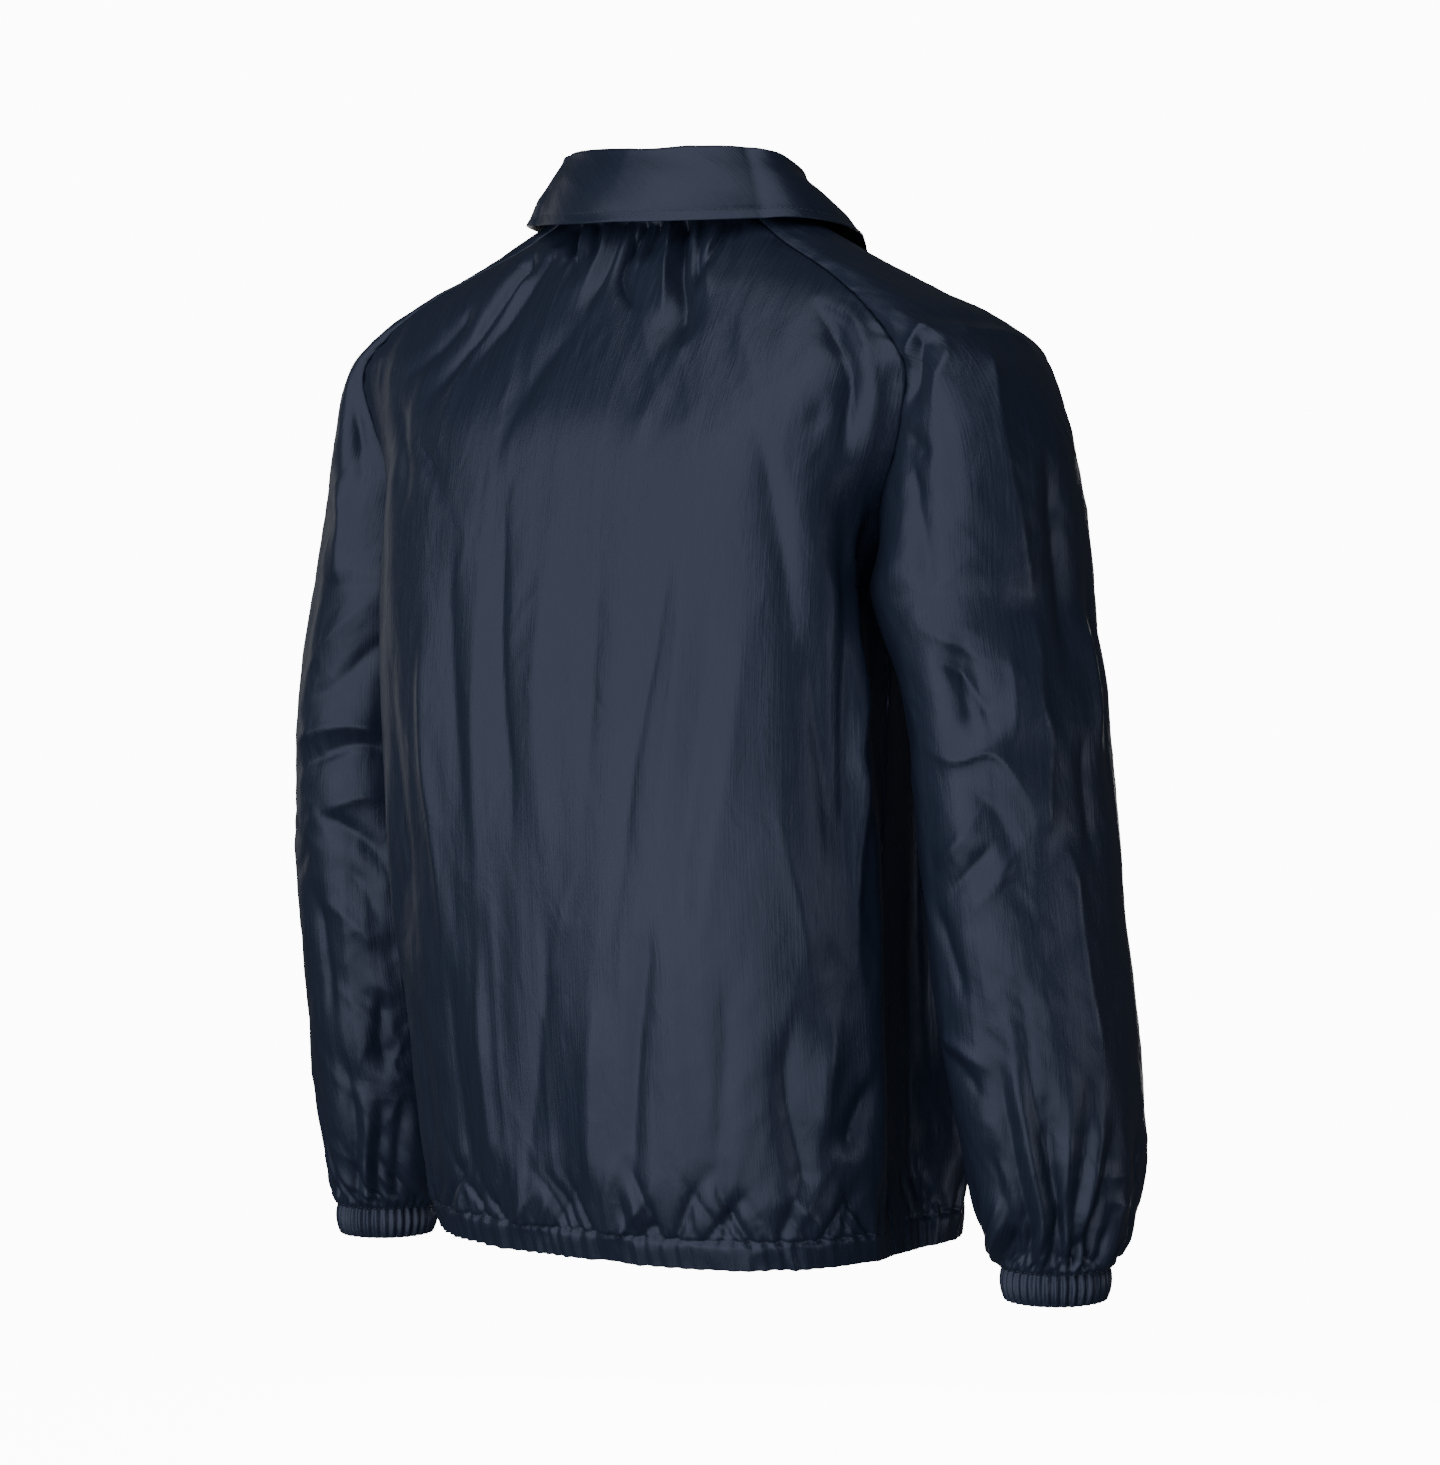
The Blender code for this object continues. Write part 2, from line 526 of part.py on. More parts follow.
def back_sheet():
    sheet = Sheet("back_panel")
    levels = BODY_LEVELS + YOKE_LEVELS
    hem_cells = HEM_GATHERS * POINTS_PER_GATHER
    neck_cells = NECK_GATHERS * POINTS_PER_GATHER
    dense = {n: hem_cells for n in range(GATHERED_ROWS)}
    dense.update({len(levels) - 1 - n: neck_cells for n in range(5)})
    spread_rows(sheet, levels, dense, hem_cells, BODY_CELLS,
                lambda s, v: back_surface(2 * s - 1, v))
    return sheet.finish(flip=True)


def front_sheet(side):
    sheet = Sheet("front_left" if side > 0 else "front_right")
    levels = BODY_LEVELS + YOKE_LEVELS
    hem_cells = HEM_GATHERS * POINTS_PER_GATHER // 2
    dense = {n: hem_cells for n in range(GATHERED_ROWS)}

    def surface(shares, level):
        seam = FRONT.read("seam_x", level), FRONT.read("middle_y", level) - FRONT.read("seam_y", level)
        end = np.arctan2(*seam)
        first = -OVERLAP_HALF / (FRONT.read("depth", level) * end)
        return front_surface(side, first + (1 - first) * shares, level)

    spread_rows(sheet, levels, dense, hem_cells, BODY_CELLS // 2, surface)
    return sheet.finish(flip=side < 0)


def sleeve_sheet(side):
    sheet = Sheet("sleeve_left" if side > 0 else "sleeve_right")
    levels = ARM_LEVELS + YOKE_LEVELS
    cuff_cells = CUFF_GATHERS * POINTS_PER_GATHER
    dense = {0: cuff_cells, 1: cuff_cells, 2: cuff_cells // 2, 3: cuff_cells // 2}
    spread_rows(sheet, levels, dense, cuff_cells, SLEEVE_CELLS,
                lambda s, v: sleeve_surface(side, s, v), closed_to=1.0)
    return sheet.finish(flip=side > 0)


def cuff_sheet(side):
    sheet = Sheet("cuff_left" if side > 0 else "cuff_right")
    shares = np.linspace(0.0, 1.0, CUFF_GATHERS * POINTS_PER_GATHER + 1)
    for drop in (1.0, 0.5, 0.0):
        sheet.add_row(cuff_surface(side, shares, np.full(len(shares), drop)), shares, closed=True)
    return sheet.finish(flip=side > 0)


def neckline():
    """The neck opening's edge, from the centre front round the right side and the back."""
    front = np.linspace(0.0, 1.0, 30)
    over = np.linspace(0.0, 1.0, 16)
    top = np.full(30, 2.0)
    half = [
        body_base(FRONT, -1, -front, top),
        sleeve_base(-1, 1 - over, np.full(16, 2.0))[1:],
        body_base(BACK, 1, -1 + front, top)[1:],
    ]
    half = np.vstack(half)
    return np.vstack([half, (half * np.array([-1.0, 1.0, 1.0]))[::-1][1:]])


def collar_sheet():
    """One folded sheet: up the stand on the neck side, over the fold and down the fall."""
    sheet = Sheet("collar")
    line = neckline()
    steps = np.linalg.norm(np.diff(line, axis=0), axis=1)
    run = np.concatenate([[0], np.cumsum(steps)]) / steps.sum()
    rows = []
    for turn in np.linspace(-COLLAR_END_TURN, COLLAR_END_TURN, COLLAR_STATIONS):
        here = (turn + 1) / 2
        foot = np.array([np.interp(here, run, line[:, k]) for k in range(3)])
        out = foot - np.array([0.0, COLLAR_MIDDLE_Y, foot[2]])
        out = out / np.linalg.norm(out)
        up = np.array([0.0, 0.0, 1.0])
        along = np.sign(turn) * np.cross(up, out)
        size = {name: COLLAR.read(name, abs(turn)) for name in COLLAR.columns}
        foot = foot - out * WALL + up * FINGER_CLEAR
        fold = foot + up * size["rise"] + out * size["lean"]
        hang = fold + out * size["flare"] - up * size["drop"] + along * size["spread"]
        inside = fold - out * FOLD_RADIUS - up * FOLD_RADIUS
        outside = fold + out * FOLD_RADIUS - up * FOLD_RADIUS * 1.2
        bulge = out * 0.002
        profile = [
            foot, foot + (inside - foot) * 0.5, inside,
            fold - out * FOLD_RADIUS * 0.6 - up * FOLD_RADIUS * 0.25, fold,
            fold + out * FOLD_RADIUS * 0.6 - up * FOLD_RADIUS * 0.25, outside,
            outside + (hang - outside) * 0.33 + bulge, outside + (hang - outside) * 0.66 + bulge, hang,
        ]
        rows.append(np.array(profile))
    shares = np.linspace(0.0, 1.0, len(rows))
    for k in range(len(rows[0])):
        sheet.add_row([row[k] for row in rows], shares)
    return sheet.finish(flip=True)


def add_snap(number, level, material):
    """A pressed snap cap on the left front, its rim turned down to the cloth."""
    share, row = np.zeros(1), np.full(1, level)
    step = np.full(1, 1e-3)
    centre = front_surface(1, share, row)[0]
    across = front_surface(1, share + step, row)[0] - centre
    up = front_surface(1, share, row + step)[0] - centre
    normal = np.cross(across, up)
    normal = normal / np.linalg.norm(normal)
    side = across / np.linalg.norm(across)
    over = np.cross(normal, side)
    sides = 12
    stations = ((SNAP_RADIUS, 0.0), (SNAP_RADIUS, SNAP_HEIGHT * 0.6),
                (SNAP_RADIUS - SNAP_RIM, SNAP_HEIGHT), (SNAP_RADIUS * 0.45, SNAP_HEIGHT * 0.8))
    seat = centre + normal * FINGER_CLEAR
    points = [seat]
    for radius, height in stations:
        for k in range(sides):
            angle = 2 * math.pi * k / sides
            points.append(seat + normal * height + radius * (math.cos(angle) * side + math.sin(angle) * over))
    points.append(seat + normal * SNAP_HEIGHT * 0.75)
    faces = []
    for k in range(sides):
        n = (k + 1) % sides
        faces.append((0, 1 + n, 1 + k))
        for ring in range(len(stations) - 1):
            a, b = 1 + ring * sides, 1 + (ring + 1) * sides
            faces.append((a + k, a + n, b + n, b + k))
        last = 1 + (len(stations) - 1) * sides
        faces.append((last + k, last + n, len(points) - 1))
    add_solid(f"snap_{number}", points, faces, material)


def build():
    for old in list(bpy.data.objects):
        bpy.data.objects.remove(old)
    nylon = cloth_material("navy_nylon", NAVY, 0.38)
    cap = cloth_material("navy_snap", SNAP_NAVY, 0.30)
    sheets = [back_sheet(), front_sheet(1), front_sheet(-1), sleeve_sheet(1), sleeve_sheet(-1),
              cuff_sheet(1), cuff_sheet(-1)]
    part_seams(sheets)
    for sheet in sheets + [collar_sheet()]:
        add_wall(sheet, nylon)
    for number, level in enumerate(SNAP_LEVELS, start=1):
        add_snap(number, level, cap)


build()
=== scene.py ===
"""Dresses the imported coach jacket: navy nylon taffeta, filled out as if worn.

It follows the jacket as it is sewn: back, fronts, sleeves, cuffs, collar, stitching, snaps.
Lengths are in metres with +Z up, the wearer faces -Y, and the wearer's left side is at +X.
"""

import math

import bpy
import numpy as np
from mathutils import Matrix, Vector


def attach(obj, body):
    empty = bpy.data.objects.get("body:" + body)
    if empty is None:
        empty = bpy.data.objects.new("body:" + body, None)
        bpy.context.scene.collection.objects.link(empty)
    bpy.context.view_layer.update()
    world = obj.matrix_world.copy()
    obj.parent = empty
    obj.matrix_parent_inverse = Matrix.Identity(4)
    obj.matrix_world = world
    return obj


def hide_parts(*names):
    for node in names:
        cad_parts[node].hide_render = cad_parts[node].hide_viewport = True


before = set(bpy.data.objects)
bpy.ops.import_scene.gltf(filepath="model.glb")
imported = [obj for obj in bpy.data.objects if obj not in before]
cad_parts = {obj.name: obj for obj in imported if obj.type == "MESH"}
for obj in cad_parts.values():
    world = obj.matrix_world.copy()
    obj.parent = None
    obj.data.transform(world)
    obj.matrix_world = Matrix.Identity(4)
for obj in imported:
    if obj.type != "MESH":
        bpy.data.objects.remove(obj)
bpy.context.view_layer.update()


# ---- Camera ----
# A long lens at chest height, behind the wearer's right shoulder, looking very slightly down.
CAMERA_YAW = math.radians(35)
CAMERA_DISTANCE = 3.2
CAMERA_HEIGHT = -0.1726
AIM_HEIGHT = -0.366
AIM_RIGHT = 0.0137
FOCAL_LENGTH_MM = 114.8
SENSOR_WIDTH_MM = 36

behind = Vector((-math.sin(CAMERA_YAW), math.cos(CAMERA_YAW), 0))
screen_right = Vector((-math.cos(CAMERA_YAW), -math.sin(CAMERA_YAW), 0))


def aim(thing, target):
    """Turns a camera or a lamp so that it looks at a point."""
    thing.rotation_mode = "QUATERNION"
    thing.rotation_quaternion = (Vector(target) - thing.location).to_track_quat("-Z", "Y")


lens = bpy.data.cameras.new("photo_camera")
lens.lens = FOCAL_LENGTH_MM
lens.sensor_width = SENSOR_WIDTH_MM
camera = bpy.data.objects.new("photo_camera", lens)
bpy.context.scene.collection.objects.link(camera)
camera.location = behind * CAMERA_DISTANCE + Vector((0, 0, CAMERA_HEIGHT))
aim(camera, screen_right * AIM_RIGHT + Vector((0, 0, AIM_HEIGHT)))
bpy.context.scene.camera = camera


# ---- Floor and light ----
# A wide pale studio floor that curves up into its own wall all round, well below the jacket.
# A broad soft box behind the jacket and one above it give most of the light. Four smaller ones
# fill in the near arm, the underside, the front and the far side.
FLOOR_HEIGHT = -1.55
FLOOR_RADIUS = 9.0
FLOOR_RINGS = (0.5, 1.0, 2.0, 3.0, 4.0, 5.0, 6.0)
FLOOR_SIDES = 96
WALL_CURVE = 3.0
WALL_STEPS = 12
WALL_TOP = 9.0


def hex_colour(code):
    """A linear colour with alpha from an sRGB hex code."""
    channels = [int(code[i:i + 2], 16) / 255 for i in (1, 3, 5)]
    linear = [c / 12.92 if c <= 0.04045 else ((c + 0.055) / 1.055) ** 2.4 for c in channels]
    return (*linear, 1.0)


def add_node(tree, kind, settings, inputs):
    """Adds a shader node; an input given as (node, output) is linked, any other is a value."""
    node = tree.nodes.new(kind)
    for name, value in settings.items():
        setattr(node, name, value)
    for name, value in inputs.items():
        if isinstance(value, tuple) and isinstance(value[0], bpy.types.Node):
            tree.links.new(value[0].outputs[value[1]], node.inputs[name])
        else:
            node.inputs[name].default_value = value
    return node


def new_material(name):
    """An empty material and its node tree, ready for a surface."""
    material = bpy.data.materials.new(name)
    material.use_nodes = True
    material.node_tree.nodes.clear()
    return material, material.node_tree


def mesh_object(name, points, faces, material, flat=None):
    """A smooth-shaded object. flat gives each point's place on the flat cloth, as its UV map."""
    mesh = bpy.data.meshes.new(name)
    mesh.from_pydata(np.asarray(points, float).tolist(), [], faces)
    if flat is not None:
        layer = mesh.uv_layers.new(name="flat_cloth")
        layer.data.foreach_set("uv", np.asarray(flat, np.float32).ravel())
    mesh.shade_smooth()
    mesh.materials.append(material)
    piece = bpy.data.objects.new(name, mesh)
    bpy.context.scene.collection.objects.link(piece)
    return piece


def band_faces(rings, sides, first=0):
    """Quads that join rings of points, each ring with the same number of sides."""
    faces = []
    for ring in range(rings - 1):
        low, high = first + ring * sides, first + (ring + 1) * sides
        for k in range(sides):
            after = (k + 1) % sides
            faces.append((low + k, low + after, high + after, high + k))
    return faces


# Matt white emulsion without any gloss. It is so bright that it shows as plain white all round.
floor_paint, tree = new_material("matt_white_floor_paint")
paint = add_node(tree, "ShaderNodeBsdfPrincipled", {}, {
    "Base Color": hex_colour("#f2f2f0"), "Roughness": 0.9,
    "Emission Color": hex_colour("#ffffff"), "Emission Strength": 12.0,
})
add_node(tree, "ShaderNodeOutputMaterial", {}, {"Surface": (paint, "BSDF")})

floor_profile = [(radius, 0.0) for radius in FLOOR_RINGS]
for step in range(WALL_STEPS + 1):
    bend = math.pi / 2 * step / WALL_STEPS
    radius = FLOOR_RADIUS - WALL_CURVE * (1 - math.sin(bend))
    floor_profile.append((radius, WALL_CURVE * (1 - math.cos(bend))))
floor_profile.append((FLOOR_RADIUS, WALL_TOP))
floor_points = [(0.0, 0.0, FLOOR_HEIGHT)]
for radius, height in floor_profile:
    for k in range(FLOOR_SIDES):
        turn = 2 * math.pi * k / FLOOR_SIDES
        floor_points.append((radius * math.cos(turn), radius * math.sin(turn), FLOOR_HEIGHT + height))
floor_faces = [(0, 1 + k, 1 + (k + 1) % FLOOR_SIDES) for k in range(FLOOR_SIDES)]
for a, b, c, d in band_faces(len(floor_profile), FLOOR_SIDES, first=1):
    floor_faces.append((a, d, c, b))
studio_floor = mesh_object("studio_floor", floor_points, floor_faces, floor_paint)
studio_floor.visible_diffuse = False
studio_floor.visible_glossy = False
studio_floor.visible_shadow = False

# Each soft box: name, place, width, height, power in watts
SOFT_BOXES = (
    ("back_soft_box", (0.5, 3.6, 0.35), 7.0, 3.6, 114),
    ("top_soft_box", (-0.8, 1.9, 2.7), 4.4, 3.0, 66),
    ("arm_soft_box", (-3.3, -0.5, -0.90), 2.4, 1.0, 13),
    ("floor_bounce", (-0.5, 2.2, -1.50), 4.2, 1.5, 29),
    ("front_soft_box", (1.7, -3.3, -0.75), 1.8, 1.5, 26),
    ("side_soft_box", (3.7, -0.9, 0.10), 1.4, 2.0, 4),
)
JACKET_MIDDLE = (0, 0, -0.35)
for name, place, width, height, power in SOFT_BOXES:
    lamp = bpy.data.lights.new(name, "AREA")
    lamp.shape = "RECTANGLE"
    lamp.size, lamp.size_y = width, height
    lamp.energy = power
    soft_box = bpy.data.objects.new(name, lamp)
    bpy.context.scene.collection.objects.link(soft_box)
    soft_box.location = place
    aim(soft_box, JACKET_MIDDLE)

room = bpy.data.worlds.new("studio_air")
room.use_nodes = True
air = room.node_tree.nodes["Background"]
air.inputs["Color"].default_value = hex_colour("#dfe3ea")
air.inputs["Strength"].default_value = 0.06
bpy.context.scene.world = room


# ---- Back panel ----
# One piece of nylon taffeta from hem to neck, joined to the sleeves along raglan seams. It
# is gathered under the collar, and its hem is turned up over elastic and stitched through.


class Sections:
    """A short table with named columns, read between its rows along smooth curves.

    The columns named in corner_columns turn a corner at the key given as corner.
    """

    def __init__(self, names, *rows, corner=None, corner_columns=()):
        table = np.array(rows, float)
        self.keys = table[:, 0]
        self.columns = dict(zip(names[1:], table[:, 1:].T))
        self.slopes = {}
        for name, values in self.columns.items():
            steps = np.gradient(values, self.keys)
            leaving, arriving = steps[:-1].copy(), steps[1:].copy()
            if name in corner_columns:
                k = int(np.searchsorted(self.keys, corner))
                arriving[k - 1] = (values[k] - values[k - 1]) / (self.keys[k] - self.keys[k - 1])
                leaving[k] = (values[k + 1] - values[k]) / (self.keys[k + 1] - self.keys[k])
            self.slopes[name] = leaving, arriving

    def read(self, name, key):
        """One column's value at a key, or at each key of an array."""
        keys, values = self.keys, self.columns[name]
        leaving, arriving = self.slopes[name]
        i = np.clip(np.searchsorted(keys, key, side="right") - 1, 0, len(keys) - 2)
        span = keys[i + 1] - keys[i]
        s = (key - keys[i]) / span
        rise = s * s * (3 - 2 * s)
        return (
            values[i] * (1 - rise)
            + values[i + 1] * rise
            + span * leaving[i] * s * (1 - s) ** 2
            - span * arriving[i] * s * s * (1 - s)
        )


# Level 0 is the hem, 1 the underarm and 2 the neck. A row runs from the centre line to
# seam_x and seam_y, which are given before the dent that the arm presses into the side.
BODY_COLUMNS = (
    "level", "z_centre", "z_seam", "seam_x", "seam_y",
    "middle_y", "depth", "squareness", "dent", "dent_start", "dent_edge",
)
UNDERARM_CORNER = ("z_seam", "seam_x", "seam_y", "dent")
BACK = Sections(
    BODY_COLUMNS,
    (0.00, -0.709, -0.709, 0.174, 0.012, 0.012, 0.130, 2.7, 0.04, 78, 12),
    (0.08, -0.674, -0.674, 0.182, 0.012, 0.012, 0.142, 2.6, 0.12, 78, 12),
    (0.25, -0.5995, -0.5995, 0.190, 0.013, 0.013, 0.153, 2.6, 0.18, 76, 13),
    (0.55, -0.4665, -0.4665, 0.196, 0.015, 0.015, 0.162, 2.8, 0.20, 73, 14),
    (0.80, -0.355, -0.355, 0.200, 0.018, 0.018, 0.160, 3.0, 0.19, 69, 15),
    (1.00, -0.265, -0.265, 0.204, 0.020, 0.020, 0.150, 3.2, 0.165, 62, 17),
    (1.20, -0.205, -0.218, 0.2085, 0.070, 0.020, 0.143, 3.1, 0.100, 56, 22),
    (1.40, -0.142, -0.158, 0.2200, 0.084, 0.020, 0.128, 2.6, 0.020, 46, 26),
    (1.50, -0.108, -0.122, 0.2230, 0.087, 0.020, 0.110, 2.4, 0.00, 46, 26),
    (1.62, -0.084, -0.096, 0.2050, 0.084, 0.020, 0.096, 2.3, 0.00, 66, 26),
    (1.75, -0.060, -0.070, 0.1720, 0.074, 0.020, 0.082, 2.2, 0.00, 66, 26),
    (1.85, -0.043, -0.052, 0.1390, 0.063, 0.020, 0.072, 2.1, 0.00, 66, 26),
    (1.93, -0.027, -0.033, 0.1010, 0.054, 0.020, 0.063, 2.0, 0.00, 66, 26),
    (2.00, -0.014, -0.010, 0.0680, 0.047, 0.020, 0.054, 2.0, 0.00, 66, 26),
    corner=1.0, corner_columns=UNDERARM_CORNER,
)

# Rows are closest at the drawn-in hem and under the collar, where the gathers are finest.
BODY_LEVELS = np.concatenate([
    np.linspace(0.0, 0.15, 56, endpoint=False), np.linspace(0.15, 1.0, 150, endpoint=False),
    np.linspace(1.0, 1.85, 90, endpoint=False), np.linspace(1.85, 2.0, 25),
])
BACK_POINTS = 231
HEM_CASING = 0.020
HEM_PUCKER = 0.0105
# The turned-up cloth ends this many rows above its stitching.
TURNED_OVER = 3
# Beside a seam the cloth rolls up by SEAM_LIFT within SEAM_ROLL, and folds end at SEAM_CALM.
SEAM_LIFT = 0.0012
SEAM_ROLL = 0.0012
SEAM_CALM = 0.016

# Folds lie on the flat cloth, in millimetres: across from the centre line, with the wearer's
# left positive, and up from the hem. height is negative for a trough. crisp runs from 0, soft,
# to 1, a pressed crease. lean widens the fold's left flank, or its right one where negative.
# fade_in and fade_out are the shares of the fold's length over which its ends die away.
FOLD_COLUMNS = ("height", "width_in", "width_out", "crisp", "lean", "fade_in", "fade_out", "path")
BACK_FOLDS = (
    # gathers under the collar
    (-5.5, 4.0, 6.5, 0.7, 0.2, 0.0, 0.5, ((60, 718), (41, 689), (30, 660))),
    (-6.5, 4.0, 7.5, 0.7, 0.3, 0.0, 0.5, ((7, 718), (10, 682), (14, 632))),
    (-6.5, 3.5, 5.5, 0.8, -0.2, 0.0, 0.4, ((-9, 718), (-2, 680), (-14, 658), (-36, 640))),
    (-5.5, 3.0, 4.5, 0.7, 0.0, 0.0, 0.5, ((-19, 718), (-18, 680))),
    (-10.0, 3.5, 8.5, 0.7, 0.0, 0.0, 0.3, ((-38, 718), (-50, 676), (-62, 650), (-71, 612))),
    (5.5, 3.0, 4.5, 0.8, 0.0, 0.0, 0.5, ((-30, 718), (-36, 690), (-45, 660), (-52, 632))),
    (-5.0, 3.0, 4.0, 0.7, 0.0, 0.0, 0.5, ((-52, 718), (-59, 686), (-70, 658))),
    (-6.0, 3.0, 5.5, 0.7, 0.0, 0.0, 0.5, ((-72, 718), (-66, 691), (-63, 662))),
    (3.0, 3.0, 5.0, 0.5, 0.0, 0.0, 0.6, ((-61, 718), (-64, 694), (-78, 660), (-84, 640))),
    (3.0, 3.0, 6.0, 0.5, 0.0, 0.0, 0.5, ((22, 718), (20, 684), (24, 640))),
    (-3.0, 3.0, 4.0, 0.5, 0.0, 0.0, 0.5, ((34, 718), (24, 700), (20, 676))),
    # left shoulder
    (-8.5, 6.0, 11.0, 0.6, -0.3, 0.1, 0.5, ((86, 700), (97, 655), (112, 620), (142, 574))),
    (5.0, 6.0, 9.0, 0.6, 0.0, 0.2, 0.5, ((76, 695), (90, 640), (108, 600), (124, 574))),
    (-5.0, 5.0, 9.0, 0.4, 0.0, 0.1, 0.5, ((64, 700), (76, 650), (103, 593))),
    (-5.0, 5.0, 7.0, 0.5, 0.0, 0.3, 0.5, ((116, 664), (137, 628), (164, 600))),
    (-4.0, 7.0, 14.0, 0.3, 0.2, 0.3, 0.6, ((6, 650), (32, 606), (53, 556), (72, 506))),
    (-3.5, 5.0, 7.0, 0.5, 0.0, 0.4, 0.5, ((144, 563), (113, 532), (99, 506))),
    (-3.5, 5.0, 8.0, 0.5, 0.0, 0.3, 0.5, ((176, 592), (152, 556), (133, 492))),
    # right shoulder
    (-10.0, 5.0, 8.0, 0.8, 0.3, 0.3, 0.4, ((-150, 664), (-177, 637), (-194, 608), (-200, 574), (-203, 535))),
    (4.0, 5.0, 7.0, 0.6, 0.0, 0.3, 0.5, ((-172, 668), (-198, 630), (-212, 595), (-215, 545))),
    (-5.0, 7.0, 11.0, 0.5, 0.3, 0.3, 0.5, ((-130, 586), (-152, 541), (-166, 485), (-175, 432), (-182, 372))),
    (-2.5, 5.0, 6.0, 0.3, 0.0, 0.5, 0.5, ((-180, 600), (-177, 550))),
    # long soft folds down the back
    (3.6, 6.0, 9.0, 0.6, -0.3, 0.3, 0.4, ((112, 450), (110, 360), (100, 290), (92, 230), (96, 150))),
    (-3.2, 7.0, 9.0, 0.5, 0.2, 0.3, 0.4, ((84, 505), (86, 440), (78, 373), (70, 315), (66, 250))),
    (2.2, 6.0, 8.0, 0.4, 0.0, 0.4, 0.4, ((62, 470), (60, 400), (58, 300), (48, 200))),
    (-3.2, 7.0, 9.0, 0.6, 0.4, 0.3, 0.4, ((44, 545), (41, 441), (35, 375), (27, 320), (30, 240))),
    (2.5, 9.0, 12.0, 0.3, 0.0, 0.4, 0.4, ((6, 500), (8, 400), (2, 300), (-6, 200))),
    (-2.5, 6.0, 8.0, 0.4, 0.0, 0.4, 0.4, ((-38, 480), (-36, 400), (-35, 338), (-27, 265))),
    (-3.2, 7.0, 8.0, 0.5, 0.3, 0.4, 0.4,
     ((-84, 510), (-87, 450), (-80, 395), (-68, 325), (-58, 250), (-44, 190))),
    (2.5, 6.0, 9.0, 0.5, -0.2, 0.4, 0.4, ((-98, 500), (-102, 430), (-96, 350), (-82, 270))),
    (-2.9, 8.0, 9.0, 0.4, 0.2, 0.4, 0.4, ((-118, 480), (-122, 420), (-116, 350), (-104, 270), (-98, 200))),
    (2.5, 7.0, 9.0, 0.4, 0.0, 0.4, 0.4, ((-146, 470), (-142, 400), (-134, 330), (-120, 250), (-112, 180))),
    (-3.2, 6.0, 8.0, 0.5, 0.0, 0.3, 0.4, ((-186, 440), (-192, 380), (-200, 330), (-203, 290), (-198, 240))),
    (2.2, 5.0, 7.0, 0.5, 0.0, 0.4, 0.4, ((-170, 350), (-172, 290), (-184, 230), (-188, 170))),
    # the wavering rib beside the side fold
    (4.5, 4.0, 5.0, 0.8, 0.0, 0.2, 0.3,
     ((-219, 540), (-224, 510), (-222, 480), (-231, 455), (-227, 420), (-232, 385),
      (-227, 345), (-232, 318), (-224, 270), (-222, 220), (-226, 160))),
    (-4.5, 5.0, 7.0, 0.6, 0.0, 0.2, 0.3, ((-236, 530), (-243, 465), (-247, 400), (-249, 330), (-240, 270))),
    (-4.0, 5.0, 7.0, 0.5, 0.0, 0.3, 0.3, ((-209, 530), (-213, 460), (-214, 390), (-215, 310), (-209, 240))),
    # above the hem
    (-3.5, 6.0, 8.0, 0.4, 0.0, 0.4, 0.2, ((-3, 245), (5, 181), (18, 112), (33, 48))),
    (-4.0, 6.0, 7.0, 0.5, 0.2, 0.4, 0.2, ((-84, 255), (-73, 184), (-62, 118), (-54, 45))),
    (-3.5, 6.0, 7.0, 0.4, 0.0, 0.4, 0.2, ((-130, 220), (-129, 161), (-122, 108), (-112, 45))),
    (-5.5, 7.0, 9.0, 0.5, 0.0, 0.4, 0.2, ((-178, 190), (-166, 135), (-170, 88), (-178, 40))),
    (-5.0, 6.0, 8.0, 0.6, 0.0, 0.4, 0.3, ((-236, 134), (-215, 106), (-203, 74))),
    (4.0, 6.0, 8.0, 0.5, 0.0, 0.4, 0.3, ((-205, 180), (-193, 130), (-190, 80))),
    (3.5, 7.0, 9.0, 0.4, 0.0, 0.4, 0.2, ((-40, 200), (-30, 130), (-22, 40))),
    (-3.5, 6.0, 8.0, 0.4, 0.0, 0.4, 0.2, ((84, 220), (90, 140), (84, 45))),
    (3.0, 6.0, 8.0, 0.4, 0.0, 0.4, 0.2, ((58, 210), (62, 130), (56, 50))),
    (-4.0, 5.0, 5.0, 0.7, 0.0, 0.4, 0.4, ((-70, 34), (-58, 22), (-50, 14))),
    # the left flank, out of the photograph's sight
    (-4.0, 7.0, 10.0, 0.4, 0.0, 0.3, 0.4, ((180, 566), (186, 480), (178, 390))),
    (4.5, 6.0, 8.0, 0.6, 0.0, 0.3, 0.4, ((214, 505), (222, 420), (219, 330), (227, 235))),
    (-4.5, 6.0, 9.0, 0.5, 0.0, 0.3, 0.4, ((240, 470), (246, 370), (238, 280))),
    (-4.5, 7.0, 9.0, 0.5, 0.0, 0.4, 0.4, ((150, 410), (146, 330), (134, 240), (130, 170))),
    (3.5, 7.0, 9.0, 0.4, 0.0, 0.4, 0.4, ((170, 350), (166, 250), (172, 150))),
    (-5.0, 7.0, 9.0, 0.5, 0.0, 0.4, 0.2, ((196, 210), (190, 130), (200, 48))),
    (-4.0, 6.0, 8.0, 0.5, 0.0, 0.4, 0.2, ((142, 190), (136, 120), (140, 48))),
)


def smooth(value):
    """Eases from 0 to 1 while the value runs from 0 to 1."""
    value = np.clip(value, 0.0, 1.0)
    return value * value * (3 - 2 * value)


